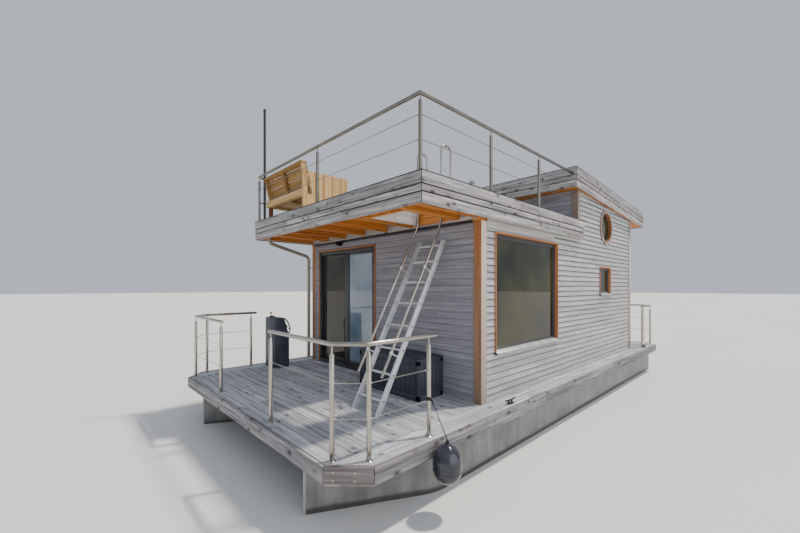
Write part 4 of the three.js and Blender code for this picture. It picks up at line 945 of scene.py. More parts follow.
# terrace roof: joists and lining of larch under grey decking, with the ladder's hatch
roofPlan = {"reach": 2.0647, "front": -3.7697, "rear": 0.3847, "joistWidth": 0.06, "joistPitch": 0.56,
            "firstJoist": -1.99, "joistBottom": 3.393, "liningBottom": 3.53, "liningThick": 0.018,
            "liningBoard": 0.121, "hatchBoard": 0.02, "wallTop": 3.531, "deckThick": 0.022, "deckBoard": 0.14,
            "deckJoints": (-0.7, 0.7, 0.0), "hatch": (1.0, 1.65, -3.6, -2.7)}
hatchX0, hatchX1, hatchY0, hatchY1 = roofPlan["hatch"]
reach = roofPlan["reach"]
deckUnder = terrace["floor"] - roofPlan["deckThick"]


def aroundHatch(y0, y1):  # spans in x that leave the hatch open
    if y1 > hatchY0 + 0.001 and y0 < hatchY1 - 0.001:
        return [(-reach, hatchX0), (hatchX1, reach)]
    return [(-reach, reach)]


def rowsAcross(y0, y1, width):  # rows that end at the hatch's edges too
    rows, y = [], y0
    stops = [hatchY0, hatchY1, y1]
    while y < y1 - 1e-6:
        stop = next(value for value in stops if value > y + 1e-6)
        end = min(y + width, stop)
        if 0 < stop - end < 0.03:
            end = stop
        rows.append((y, end))
        y = end
    return rows


front, under, lining = roofPlan["front"], roofPlan["joistBottom"], roofPlan["liningBottom"]
wallFront, liningTop = cabin["front"] - 0.02, lining + roofPlan["liningThick"]
wide, thin, lapFace = roofPlan["joistWidth"], roofPlan["hatchBoard"], cabin["lapFace"]
parts = []
for x in [roofPlan["firstJoist"] + i * roofPlan["joistPitch"] for i in range(8)] + [hatchX0 - wide, hatchX1]:
    x1 = min(x + wide, reach)
    end = hatchY0 if hatchX0 < x1 and x < hatchX1 - 0.001 else wallFront  # a joist is cut at the hatch
    parts.append(boardBox((x, front + wide, under), (x1, end, lining + 0.002)))
parts.append(boardBox((-reach, front, under), (reach, front + wide, lining + 0.002)))
for y0, y1 in rowsAcross(front, wallFront, roofPlan["liningBoard"]):
    parts += [boardBox((x0, y0 + 0.001, lining), (x1, y1 - 0.001, liningTop)) for x0, x1 in aroundHatch(y0, y1)]
parts += [boardBox(low, high) for low, high in (  # lining of the hatch, then the body of the roof
    ((hatchX0, hatchY0, under), (hatchX1, hatchY0 + thin, deckUnder)),
    ((hatchX0, hatchY1 - thin, under), (hatchX1, hatchY1, deckUnder)),
    ((hatchX1 - thin, hatchY0 + thin, under), (hatchX1, hatchY1 - thin, deckUnder)),
    ((-reach, front, liningTop + 0.001), (hatchX0, wallFront, deckUnder)),
    ((hatchX1, front, liningTop + 0.001), (reach, wallFront, deckUnder)),
    ((-lapFace, wallFront, cabin["eaves"] + seat), (lapFace, roofPlan["rear"], roofPlan["wallTop"] - 0.0005)),
    ((-reach, wallFront, roofPlan["wallTop"]), (reach, roofPlan["rear"], deckUnder)))]
makePiece("terraceJoists", parts, larchBoards, "larch", replaces=["terrace_roof"])
middle = (hatchY0 + hatchY1) / 2  # the side of the hatch that rain reaches has gone pale, and is painted paler still where the sky lights it
makePiece("hatchPaleLining", [boardBox((hatchX0, y0, under + 0.001), (hatchX0 + thin, y1, deckUnder)) for y0, y1 in (
    (hatchY0 + thin, middle - 0.001), (middle + 0.001, hatchY1 - thin))], paleBoards, "larch")

parts = []
for i, (y0, y1) in enumerate(rowsAcross(front, roofPlan["rear"], roofPlan["deckBoard"])):
    for x0, x1 in aroundHatch(y0, y1):
        middle = roofPlan["deckJoints"][i % 3]
        spans = [(x0, middle - 0.001), (middle + 0.001, x1)] if x0 < middle < x1 and x1 - x0 > 2 else [(x0, x1)]
        parts += [boardBox((a, y0 + 0.0025, deckUnder + seat), (b, y1 - 0.0025, terrace["floor"])) for a, b in spans]
makePiece("terraceBoards", parts, deckGrey, "deck_timber")

# boards over the front wall between the joists, and the dark flashing along their foot, drawn taller to paint the
# shadow of the gap below the joists
wallHead = wallFront - 0.0005
headPlan = {"half": 1.985, "boards": ((0.005, 3.374, 3.45), (0.004, 3.452, 3.529)), "flashing": (1.908, 3.336, 3.3725)}
makePiece("wallHeadBoards", [boardBox((-headPlan["half"], wallHead - thick, low), (headPlan["half"], wallHead, high))
                             for thick, low, high in headPlan["boards"]], fasciaGrey, "fascia_timber")
# a plain board closes the side walls under the fascia, and a batten the slot behind it
friezeFront, friezeStep = cabin["front"] + 0.1155, -0.6195
frieze = ((0.0006, 0.009, friezeFront, friezeStep - 0.0005, 3.272, 3.41, 0.0015),
          (0.0006, 0.009, friezeStep, terrace["rear"] + 0.02, 3.338, 3.3855, 0.0015),
          (0.0095, 0.0315, friezeFront, friezeStep, 3.386, 3.41, 0.001),
          (0.0006, 0.0315, friezeStep + 0.0005, terrace["fasciaRear"] - 0.006, 3.386, 3.41, 0.001))
parts = []
for side in (1, -1):
    for near, far, y0, y1, z0, z1, edge in frieze:
        low, high = sorted(side * (cabin["outer"] + x) for x in (near, far))
        parts.append(boardBox((low, y0, z0), (high, y1, z1), edge))
makePiece("wallFrieze", parts, paleBoards, "fascia_timber")
half, z0, z1 = headPlan["flashing"]
makePiece("wallHeadFlashing", boxes(0.001, 1, ((-half, wallHead - 0.006, z0), (half, wallHead - 0.001, z1))),
          blackCoat, "black_metal")
dripPlan = {"height": 0.022, "out": 0.012, "frontRuns": ((-half, -1.772), (-0.028, half)), "postClear": 0.116}
z0, z1, clear = cabin["foot"], cabin["foot"] + dripPlan["height"], dripPlan["postClear"]
parts = boxes(0.001, 1, *(((x0, cabin["front"] - dripPlan["out"], z0), (x1, cabin["front"] + 0.006, z1))
                          for x0, x1 in dripPlan["frontRuns"]))  # folded drip strip along the foot of the walls
for side in (1, -1):
    low, high = sorted((side * (lapFace + 0.0003), side * (cabin["outer"] + 0.0009)))
    parts += boxes(0.001, 1, ((low, cabin["front"] + clear, z0), (high, cabin["rear"] - clear, z1)))
makePiece("wallFootDrip", parts, zinc, "zinc")

# upper roof: the CAD slab is the soffit, a lapped membrane lies on it
dressNode("upper_roof", larchBoards)
sheets = {"count": 5, "half": 2.062, "inset": 0.032, "lap": 0.03, "low": 4.6005, "thick": 0.005, "lift": 0.001}
sheetWidth = (upper["rear"] - upper["front"] - sheets["inset"] * 2) / sheets["count"]
parts = []
for i in range(sheets["count"]):
    y0, z0 = upper["front"] + sheets["inset"] + i * sheetWidth, sheets["low"] + sheets["lift"] * (i % 2)
    sheet = box((-sheets["half"], y0 - (sheets["lap"] if i else 0), z0),
                (sheets["half"], y0 + sheetWidth, z0 + sheets["thick"]), 0.002, 1)
    parts.append(placed(sheet, shear))
makePiece("roofMembraneSheets", parts, membrane, "roof_panel")
print("roofs boarded")

# ---- Windows: larch trim, dark sash, bead and a folded metal sill
windows = {"picture": {"y": (-2.337, -0.452), "z": (1.655, 3.25)}, "small": {"y": (1.51, 2.16), "z": (2.36, 2.94)}}
windowPlan = {"trimX": (1.913, 2.03), "trimWidth": 0.025, "sashX": (1.93, 1.984), "sashWidth": 0.043,
              "beadX": (1.94, 1.976), "beadInset": 0.065, "beadWidth": 0.018, "sillOver": 0.006, "sillCap": 0.016,
              "sill": [(1.985, 0.046), (2.058, 0.016), (2.058, -0.004), (2.055, -0.004), (2.055, 0.0125),
                       (1.985, 0.043)],
              "cap": [(2.02, 0.036), (2.0585, 0.018), (2.0585, -0.0045), (2.02, -0.0045)]}
for kind, place in windows.items():
    for name, side in (("port", 1), ("starboard", -1)):
        (y0, y1), (z0, z1) = place["y"], place["z"]
        plan, title = windowPlan, kind.capitalize() + name.capitalize()
        trim, sash, sill = startPiece(), startPiece(), startPiece()
        for whole, (near, far), inset, width, edge in (
                (trim, plan["trimX"], seat, plan["trimWidth"], 0.002),
                (sash, plan["sashX"], plan["trimWidth"], plan["sashWidth"], 0.003),
                (sash, plan["beadX"], plan["beadInset"], plan["beadWidth"], 0.002)):
            mitredFrame(whole, lambda a, b, x=side * near: Vector((x, a, b)), (y0 + inset, z0 + inset),
                        (y1 - inset, z1 - inset), width, Vector((side * (far - near), 0, 0)), edge, whole is trim)
        over, cap = plan["sillOver"], plan["sillCap"]
        addPart(sill, solid([(side * x, y0 - over, z0 + z) for x, z in plan["sill"]], (0, y1 - y0 + over * 2, 0),
                            0.0005, 1))
        for y in (y0 - over * 2, y1 + over * 2 - cap):  # black end caps of the folded sill
            addPart(sash, solid([(side * x, y, z0 + z) for x, z in plan["cap"]], (0, cap, 0), 0.001, 1))
        finishPiece("windowTrim" + title, trim, larchTrim, "larch", replaces=[f"{kind}_frame_{name}"])
        finishPiece("windowSash" + title, sash, powderCoat, "door_metal")
        finishPiece("windowSill" + title, sill, zinc, "zinc")

roundWindow = {"y": 1.894, "z": 3.759, "outer": 0.3497, "inner": 0.30, "sawnPieces": 6, "steps": 64}
r, outer, inner = roundWindow, roundWindow["outer"], roundWindow["inner"]
ring = [(outer, 1.913), (outer, 2.018), (outer + 0.012, 2.0185), (outer + 0.012, 2.028), (outer + 0.008, 2.032),
        (inner + 0.004, 2.032), (inner, 2.028), (inner, 1.913), (outer, 1.913)]
paleRing = [(inner + 0.004, 2.0322), (outer + 0.008, 2.0322), (outer + 0.007, 2.0335), (inner + 0.006, 2.0335),
            (inner + 0.004, 2.0322)]
bead = [(inner + 0.001, 1.944), (inner - 0.014, 1.944), (inner - 0.016, 1.948), (inner - 0.016, 1.972),
        (inner - 0.012, 1.977), (inner + 0.001, 1.977), (inner + 0.001, 1.944)]
for name, side in (("port", 1), ("starboard", -1)):
    spot, title = facing((0, r["y"], r["z"]), (side, 0, 0)), name.capitalize()
    trim, face = startPiece(), startPiece()  # the face of the ring is pale from the weather
    for whole, profile in ((trim, ring), (face, paleRing)):
        addPart(whole, turned(profile, r["steps"], spot))
        grain, tone = whole.verts.layers.float_vector["grain"], whole.verts.layers.float["tone"]
        for vert in whole.verts:
            y, z = vert.co.y - r["y"], vert.co.z - r["z"]
            angle = math.atan2(z, y)
            if whole is face:
                vert[grain] = (angle * outer, vert.co.y, vert.co.x)
            else:
                segment = math.floor(angle / (math.tau / r["sawnPieces"]))
                vert[grain] = (angle * outer + segment * 3.1, math.hypot(z, y), vert.co.x)
                vert[tone] = 0.35 + 0.1 * (segment % 3)
    finishPiece("roundTrim" + title, trim, larchTrim, "larch", replaces=["round_frame_" + name])
    finishPiece("roundFace" + title, face, fasciaGrey, "larch")
    makePiece("roundBead" + title, [turned(bead, r["steps"], spot)], powderCoat, "door_metal")
print("windows set")

# ---- Sliding front door: larch trim, anthracite frame, fixed light and sliding leaf
frontDoor = {"x": (-1.7697, -0.0303), "y": (-2.655, -2.538), "z": (1.0703, 3.2297), "trim": 0.025, "jamb": 0.04,
             "sillTop": 1.14, "headBottom": 3.145, "fixed": (-0.89, -0.0953), "fixedY": (-2.63, -2.594),
             "leaf": (-1.70, -0.87), "leafY": (-2.582, -2.546), "leafZ": (1.1403, 3.14), "pullZ": (2.02, 2.32),
             "fixedRim": (0.124, 0.04, 0.075, 0.045), "leafRim": (0.062, 0.115, 0.075, 0.05)}  # left, right, foot, head
door = frontDoor
(x0, x1), (y0, y1), (z0, z1) = door["x"], door["y"], door["z"]
t, jamb = door["trim"], door["jamb"]
inX0, inX1, inTop = x0 + t + 0.0005, x1 - t - 0.0005, z1 - t - 0.0005
makePiece("doorTrim", [boardBox((x0, y0, z0), (x0 + t, y1, z1)), boardBox((x1 - t, y0, z0), (x1, y1, z1)),
                       boardBox((inX0, y0, z1 - t), (inX1, y1, z1))], larchTrim, "larch", replaces=["door_frame"])


def onDoor(y):
    return lambda a, b: Vector((a, y, b))


# A glazed sash: two stiles, two rails between them, and a bead round the pane
def glazedSash(low, high, rim, y0, y1):
    (x0, z0), (x1, z1) = low, high
    left, right, foot, head = rim
    inner0, inner1 = x0 + left - 0.0055, x1 - right + 0.0055
    whole = startPiece()
    for part in boxes(0.003, 2, ((x0, y0, z0), (x0 + left - 0.006, y1, z1)),
                      ((x1 - right + 0.006, y0, z0), (x1, y1, z1)),
                      ((inner0, y0, z0), (inner1, y1, z0 + foot - 0.006)),
                      ((inner0, y0, z1 - head + 0.006), (inner1, y1, z1))):
        addPart(whole, part)
    mitredFrame(whole, onDoor(y0 + 0.004), (x0 + left - 0.008, z0 + foot - 0.008),
                (x1 - right + 0.008, z1 - head + 0.008), 0.012, Vector((0, 0.028, 0)), 0.003)
    return whole


y0, y1 = y0 + 0.012, y1 - 0.002
frameBars = boxes(0.003, 2, ((inX0, y0, z0), (inX0 + jamb, y1, inTop)), ((inX1 - jamb, y0, z0), (inX1, y1, inTop)),
                  ((inX0, y0, door["headBottom"]), (inX1, y1, inTop)),
                  ((inX0, y0 - 0.01, z0), (inX1, y1, door["sillTop"] - 0.012)))
(fixed0, fixed1), leafBack = door["fixedY"], door["leafY"][1]
ribs = [box((inX0, low, door["sillTop"] - 0.013), (inX1, high, door["sillTop"] - 0.0005), 0.001, 1) for low, high in (
    (fixed0, fixed0 + 0.01), (fixed1 + 0.002, fixed1 + 0.010), (leafBack + 0.001, leafBack + 0.006))]  # of the track
fixedSash = glazedSash((door["fixed"][0], door["sillTop"]), (door["fixed"][1], door["headBottom"]), door["fixedRim"],
                 *door["fixedY"])
makePiece("doorFrame", frameBars + ribs + [fixedSash], powderCoat, "door_metal")

(leafX0, leafX1), (leafZ0, leafZ1), leafY0 = door["leaf"], door["leafZ"], door["leafY"][0]
finishPiece("doorLeaf", glazedSash((leafX0, leafZ0), (leafX1, leafZ1), door["leafRim"], *door["leafY"]), powderCoat,
            "door_metal", body="sliding_leaf", replaces=["door_leaf"])
pullX, (low, high) = leafX0 + 0.03, door["pullZ"]
pull = rounded([(pullX, y, z) for y, z in ((leafY0, low), (leafY0 - 0.034, low), (leafY0 - 0.034, high),
                                           (leafY0, high))], 0.02, 5)
makePiece("doorPull", [tube(pull, 0.008, 12)] + [boltHead((pullX, leafY0, z), (0, -1, 0), 0.014, 0.004, 16)
                                                 for z in (low, high)], blackCoat, "black_metal", body="sliding_leaf")

# ---- Rear door: a panelled leaf on three hinges
rearDoor = {"x": (-1.594, -0.806), "y": (3.54, 3.6), "z": (1.14, 3.074), "light": ((-1.444, 2.2), (-0.956, 2.924)),
            "frameX": (-1.6397, -0.7603), "frameY": (3.488, 3.6), "frameZ": (1.0703, 3.1197),
            "openX": (-1.6, -0.8), "openZ": (1.1345, 3.0805), "panels": ((1.3, 1.58), (1.66, 2.04)),
            "hinges": (1.33, 2.08, 2.83), "pin": (-1.6, 3.609)}
door = rearDoor
(fx0, fx1), (y0, y1), (fz0, fz1) = door["frameX"], door["frameY"], door["frameZ"]
(ox0, ox1), (oz0, oz1) = door["openX"], door["openZ"]
makePiece("rearDoorTrim", [boardBox((a, y0, b), (c, y1, d)) for a, b, c, d in (
    (fx0, fz0, ox0 - 0.0005, fz1), (ox1 + 0.0005, fz0, fx1, fz1), (ox0, oz1, ox1, fz1), (ox0, fz0, ox1, oz0))],
    larchBoards, "larch", replaces=["rear_door_frame"])
(x0, x1), (y0, y1), (z0, z1) = door["x"], door["y"], door["z"]
(lx0, lz0), (lx1, lz1) = door["light"]
whole = startPiece()
for part in boxes(0.0, 1, ((x0, y0, z0), (x1, y1, lz0)), ((x0, y0, lz1), (x1, y1, z1)), ((x0, y0, lz0), (lx0, y1, lz1)),
                  ((lx1, y0, lz0), (x1, y1, lz1)), ((lx0, y0, lz0), (lx1, y1 - 0.03, lz1))):
    addPart(whole, part)
bmesh.ops.remove_doubles(whole, verts=whole.verts[:], dist=1e-5)
for low, high in door["panels"]:
    mitredFrame(whole, onDoor(y1), (x0 + 0.15, low), (x1 - 0.15, high), 0.022, Vector((0, 0.006, 0)), 0.002)
mitredFrame(whole, onDoor(y1 - 0.03), (lx0 - 0.02, lz0 - 0.02), (lx1 + 0.02, lz1 + 0.02), 0.032,
            Vector((0, 0.037, 0)), 0.003)
finishPiece("rearDoorLeaf", whole, powderCoat, "door_metal", body="rear_leaf", replaces=["rear_door"])
makePiece("rearDoorLight", boxes(0.001, 1, ((lx0 + 0.008, y1 - 0.0295, lz0 + 0.008),
                                            (lx1 - 0.008, y1 - 0.019, lz1 - 0.008))),
          glazing, "glazing", body="rear_leaf")
lever = rounded([(-0.891, y1, 2.09), (-0.891, y1 + 0.04, 2.09), (-1.01, y1 + 0.04, 2.09)], 0.014, 5)
fittings = [box((-0.912, y1 - 0.002, 1.98), (-0.87, y1 + 0.006, 2.2), 0.003), tube(lever, 0.009, 14, 0.002)]
hinges, (pinX, pinY) = [], door["pin"]
for z in door["hinges"]:
    for parts, low, high, plate in ((fittings, z - 0.0295, z + 0.0295, (pinX, -1.565)),
                                    (hinges, z - 0.06, z - 0.0303, (-1.63, pinX)),
                                    (hinges, z + 0.0303, z + 0.06, (-1.63, pinX))):
        parts.append(tube([(pinX, pinY, low), (pinX, pinY, high)], 0.008, 16, 0.001))
        parts.append(box((plate[0], y1 - 0.001, low), (plate[1], y1 + 0.004, high), 0.001, 1))
makePiece("rearDoorFittings", fittings, stainless, "stainless", body="rear_leaf")
makePiece("rearDoorHinges", hinges, stainless, "stainless")
print("doors hung")

# ---- Rails: brushed tube posts with a spigot under the handrail, and wires between them
railPlan = {"tube": 0.0212, "spigot": 0.007, "spigotLength": 0.08, "flange": 0.034, "wire": 0.004,
            "deckHandrail": 2.048, "middleEnd": 0.045, "sideEnd": 0.105, "deckWires": (1.42, 1.72),
            "terraceHandrail": 4.535, "terraceWires": (4.055, 4.315)}


def railPost(whole, x, y, foot, handrail):
    top = handrail - railPlan["spigotLength"]
    addPart(whole, tube([(x, y, foot), (x, y, top)], railPlan["tube"], 20, 0.003))
    addPart(whole, tube([(x, y, top - 0.002), (x, y, handrail - 0.012)], railPlan["spigot"], 12))
    addPart(whole, turned([(0.0, 0), (0.012, 0), (0.012, 0.006), (0.008, 0.010), (0, 0.010)], 16,
                          Matrix.Translation((x, y, top))))
    flange = [(railPlan["flange"], 0), (railPlan["flange"], 0.003), (0.026, 0.009), (0.0213, 0.011), (0, 0.011)]
    addPart(whole, turned(flange, 24, Matrix.Translation((x, y, foot))))


def railWire(whole, start, end):
    start, end = Vector(start), Vector(end)
    way = (end - start).normalized()
    start, end = start + way * 0.019, end - way * 0.019
    addPart(whole, tube([start, end], railPlan["wire"], 8))
    for place, out in ((start, way), (end, -way)):  # swaged ends and their nuts
        addPart(whole, tube([place, place + out * 0.045], 0.0045, 10, 0.001))
        addPart(whole, tube([place, place + out * 0.008], 0.008, 6, 0.001))


for end, title in ((-1, "bow"), (1, "stern")):
    for name, side in (("port", 1), ("starboard", -1)):
        posts = [(side * x, end * y) for x, y in ((0.8, 4.787), (2.0, 4.795), (2.21, 4.567), (2.21, 3.82))]
        whole = startPiece()
        for x, y in posts:
            railPost(whole, x, y, hull["deckTop"], railPlan["deckHandrail"])
        line = [(posts[0][0] - side * railPlan["middleEnd"], posts[0][1])] + posts[1:3] + [
            (posts[3][0], posts[3][1] - end * railPlan["sideEnd"])]
        addPart(whole, tube([(x, y, railPlan["deckHandrail"]) for x, y in line], railPlan["tube"], 24, 0.006))
        for z in railPlan["deckWires"]:
            for a, b in zip(posts, posts[1:]):
                railWire(whole, (*a, z), (*b, z))
        finishPiece(f"{title}Rail{name.capitalize()}", whole, stainless, "stainless", replaces=[f"{title}_rail_{name}"])

whole = startPiece()
railX, railFront, railEnd = 2.02, -3.74, 0.1447
terracePosts = [(-railX, -1.12), (-railX, -2.43), (-railX, railFront), (0, railFront), (railX, railFront),
                (railX, -2.43), (railX, -1.12)]
for x, y in terracePosts:
    railPost(whole, x, y, terrace["floor"], railPlan["terraceHandrail"])
handrail = [(-railX, railEnd), (-railX, railFront), (railX, railFront), (railX, railEnd)]
addPart(whole, tube([(x, y, railPlan["terraceHandrail"]) for x, y in handrail], railPlan["tube"], 24, 0.004))
for z in railPlan["terraceWires"]:
    stops = [(-railX, railEnd - 0.002)] + terracePosts + [(railX, railEnd - 0.002)]
    if z < 4.2:  # the lower wire ends at the clerestory post
        stops[0], stops[-1] = (-railX, terrace["rear"] - 0.002), (railX, terrace["rear"] - 0.002)
    for a, b in zip(stops, stops[1:]):
        railWire(whole, (*a, z), (*b, z))
finishPiece("terraceRailing", whole, dullStainless, "stainless", replaces=["terrace_rail"])
print("rails fitted")

# ---- Ladder: channel stiles, ribbed rungs and two handrails that loop over at the hatch
ladder = {"x": (1.045, 1.475), "foot": -3.866, "deep": 0.038, "half": 0.013, "lean": 0.555, "rise": 2.08, "low": -3.997,
          "lowRise": 0.43, "bendRise": 2.305, "loopTop": 3.345, "loop": 0.195, "brackets": (0.62, 1.64),
          "bracketReach": (-0.131, 0.073), "rungs": [0.16 + i * 0.272 for i in range(7)] + [2.011],
          "rungRadius": 0.0145, "ribs": 9, "flange": 0.011, "web": 0.006}
stiles, handrails, bolts, base = [], [], [], hull["deckTop"]
run, deep, half, flange = ladder["rise"] * ladder["lean"], ladder["deep"], ladder["half"], ladder["flange"]
outY, outZ = ladder["bracketReach"]
low, high = ladder["x"]
for x, outward in ((low, -1), (high, 1)):
    webX = x + outward * half  # channel section, open to the rungs
    for near, far, x0, x1 in ((-deep, flange - deep, x - half, x + half), (deep - flange, deep, x - half, x + half),
                              (flange - deep - 0.001, deep - flange + 0.001, webX, webX - outward * ladder["web"])):
        stile = [(x0, ladder["foot"] + y, base + seat) for y in (near, far)]
        stile += [(x0, ladder["foot"] + run + y, base + ladder["rise"]) for y in (far, near)]
        stiles.append(solid(stile, (x1 - x0, 0, 0), 0.0025, 2))
    startY, bendY = (ladder["low"] + (ladder[rise] - outZ) * ladder["lean"] for rise in ("lowRise", "bendRise"))
    endY = bendY + ladder["loop"]
    line = [(x, startY, base + ladder["lowRise"]), (x, bendY, base + ladder["bendRise"]),
            (x, bendY, base + ladder["loopTop"]), (x, endY, base + ladder["loopTop"]),
            (x, endY, terrace["floor"] + seat)]
    handrails.append(tube(rounded(line, 0.085, 10), 0.016, 16, 0.003))
    handrails.append(turned([(0.034, 0), (0.034, 0.004), (0.02, 0.008), (0, 0.008)], 20,
                            Matrix.Translation((x, endY, terrace["floor"]))))
    for height in ladder["brackets"]:
        foot = Vector((x, ladder["foot"] + height * ladder["lean"], base + height))
        clamp = foot + Vector((0, outY, outZ))
        stiles.append(tube([foot, clamp], 0.009, 12))
        stiles.append(turned([(0.0165, -0.02), (0.0205, -0.018), (0.0205, 0.018), (0.0165, 0.02), (0.0165, -0.02)], 18,
                             facing(clamp, (0, ladder["lean"], 1))))
for height in ladder["rungs"]:
    y, z = ladder["foot"] + height * ladder["lean"], base + height
    stiles.append(tube([(low - 0.012, y, z), (high + 0.012, y, z)], ladder["rungRadius"], 14))
    for i in range(ladder["ribs"]):  # grip ribs on top of the rung
        angle = math.radians(-60 + 15 * i)
        ribY, ribZ = (part * (ladder["rungRadius"] + 0.0001) for part in (math.sin(angle), math.cos(angle)))
        stiles.append(tube([(low + 0.014, y + ribY, z + ribZ), (high - 0.014, y + ribY, z + ribZ)], 0.0009, 4))
    bolts += [boltHead((x, y, z), (way, 0, 0), 0.011, 0.006, 12) for x, way in ((low - half, -1), (high + half, 1))]
makePiece("ladderFrame", stiles, aluminium, "ladder_aluminium", replaces=["ladder"])
makePiece("ladderHandrails", handrails, stainless, "ladder_aluminium")
makePiece("ladderBolts", bolts, blackCoat, "black_metal")

# ---- Helm stand with a throttle box, lever and wheel
helm = {"x": (-2.09, -1.69), "front": -3.6, "rear": -3.32, "height": 0.9, "slopeTop": -3.422, "drop": 0.33,
        "wheel": (-1.89, -3.29, 1.8), "axis": (0, 0.955406, 0.295308), "wheelRadius": 0.155, "rimRadius": 0.012,
        "spokes": 3, "grips": 24, "gripRadius": 0.136, "lever": 0.09}
(x0, x1), front, rimRadius = helm["x"], helm["front"], helm["rimRadius"]
z0, z1 = base + seat, base + helm["height"]
profile = [(front, z0), (helm["rear"], z0), (helm["rear"], z1 - helm["drop"]), (helm["slopeTop"], z1), (front, z1)]
axis, wheelCentre = Vector(helm["axis"]), Vector(helm["wheel"])
parts = [solid([(x0, y, z) for y, z in profile], (x1 - x0, 0, 0), 0.012, 3),
         turned([(0, -0.032), (0.05, -0.032), (0.05, -0.012), (0.04, -0.004), (0.024, 0.004), (0.018, 0.02), (0, 0.02)],
                24, facing(wheelCentre - axis * 0.05, axis)),  # hub on the slanted face
         box((x0 + 0.05, front - 0.004, base + 0.08), (x1 - 0.05, front + 0.01, base + 0.72), 0.004),
         box((x0 + 0.045, front + 0.045, z1 - 0.004), (x0 + 0.135, front + 0.125, z1 + 0.022), 0.008)]
makePiece("helmStand", parts, moulded, "anthracite_plastic", replaces=["helm_console"])
leverX = x0 + helm["lever"]
knob = [(0, -0.03), (0.010, -0.028), (0.014, -0.01), (0.015, 0.01), (0.010, 0.024), (0, 0.027)]
makePiece("helmControls", [
    tube([wheelCentre - axis * 0.07, wheelCentre - axis * 0.01], 0.013, 16),
    tube([(leverX, front + 0.08, z1), (leverX, front + 0.07, z1 + 0.07)], 0.007, 12),
    turned(knob, 18, facing((leverX, front + 0.068, z1 + 0.075), (0, -0.1, 1)))], blackCoat, "black_metal")

rim = [(helm["wheelRadius"] - rimRadius + rimRadius * math.cos(math.tau * i / 16),
        rimRadius * math.sin(math.tau * i / 16)) for i in range(17)]
hub = [(0, -0.0115), (0.03, -0.0115), (0.034, -0.004), (0.034, 0.004), (0.028, 0.011), (0, 0.0135)]
grip = [(0, -0.009), (0.005, -0.008), (0.006, 0), (0.005, 0.008), (0, 0.009)]  # finger grips under the rim
spot = facing(wheelCentre, axis)
parts = [turned(rim, 64, spot), turned(hub, 32, spot)]
for i in range(helm["spokes"]):
    turn = Matrix.Rotation(math.pi / 2 + i * math.tau / helm["spokes"], 4, "Z")
    parts.append(placed(box((0.022, -0.010, -0.004), (helm["wheelRadius"] - 0.015, 0.010, 0.004), 0.0035), spot @ turn))
for i in range(helm["grips"]):
    angle = math.tau * i / helm["grips"]
    out = Vector((math.cos(angle), math.sin(angle), 0)) * helm["gripRadius"]
    parts.append(turned(grip, 8, spot @ Matrix.Translation(out)))
makePiece("helmWheel", parts, blackCoat, "black_metal", body="helm_wheel", replaces=["steering_wheel"])
print("ladder and helm placed")

# ---- Deck box: hollow, slatted sides between plain bands, a crowned lid
deckBox = {"x": (0.2, 1.416), "y": (-3.14, -2.662), "height": 0.51, "wall": 0.022, "slatDeep": 0.009, "band": 0.07,
           "topBand": 0.056, "slatGap": 0.006, "slatsLong": 12, "slatsShort": 5, "lidOver": 0.012, "ribs": 9}
(x0, x1), (y0, y1) = deckBox["x"], deckBox["y"]
z0, z1 = base + seat, base + deckBox["height"]
deep, wall, slatGap = deckBox["slatDeep"], deckBox["wall"], deckBox["slatGap"]
face = deep + 0.003
parts = [box((a, b, z0), (c, d, top), 0.002, 1) for a, b, c, d, top in (
    (x0 + deep, y0 + deep, x0 + wall, y1, z1), (x1 - wall, y0 + deep, x1 - deep, y1, z1),
    (x0 + deep, y0 + deep, x1 - deep, y0 + wall, z1), (x0 + deep, y1 - wall, x1 - deep, y1, z1),
    (x0 + deep, y0 + deep, x1 - deep, y1 - deep, z0 + wall))]
for low, high in ((z0, z0 + deckBox["band"]), (z1 - deckBox["topBand"], z1)):
    parts += boxes(0.004, 2, ((x0, y0, low), (x1, y0 + face, high)), ((x0, y0, low), (x0 + face, y1, high)),
                   ((x1 - face, y0, low), (x1, y1, high)))
corners = [(x, y0, 0.05, 0.012) for x in (x0, x1 - 0.05)]
corners += [(x, y, 0.012, 0.045) for x in (x0, x1 - 0.012) for y in (y0, y1 - 0.045)]
parts += [box((x, y, z0), (x + wide, y + long, z1), 0.004) for x, y, wide, long in corners]
slatLow, slatHigh = z0 + deckBox["band"] + 0.008, z1 - deckBox["topBand"] - 0.008
pitch = (x1 - x0 - 0.11) / deckBox["slatsLong"]
for i in range(deckBox["slatsLong"]):
    x = x0 + 0.055 + i * pitch
    parts += boxes(0.003, 2, ((x + slatGap, y0 + 0.002, slatLow), (x + pitch - slatGap, y0 + face, slatHigh)))
pitch = (y1 - y0 - 0.1) / deckBox["slatsShort"]
for i in range(deckBox["slatsShort"]):
    low, high = y0 + 0.05 + i * pitch + slatGap, y0 + 0.05 + (i + 1) * pitch - slatGap
    parts += boxes(0.003, 2, ((x0 + 0.002, low, slatLow), (x0 + face, high, slatHigh)),
                   ((x1 - face, low, slatLow), (x1 - 0.002, high, slatHigh)))
makePiece("deckBoxBody", parts, moulded, "anthracite_plastic", replaces=["deck_box"])

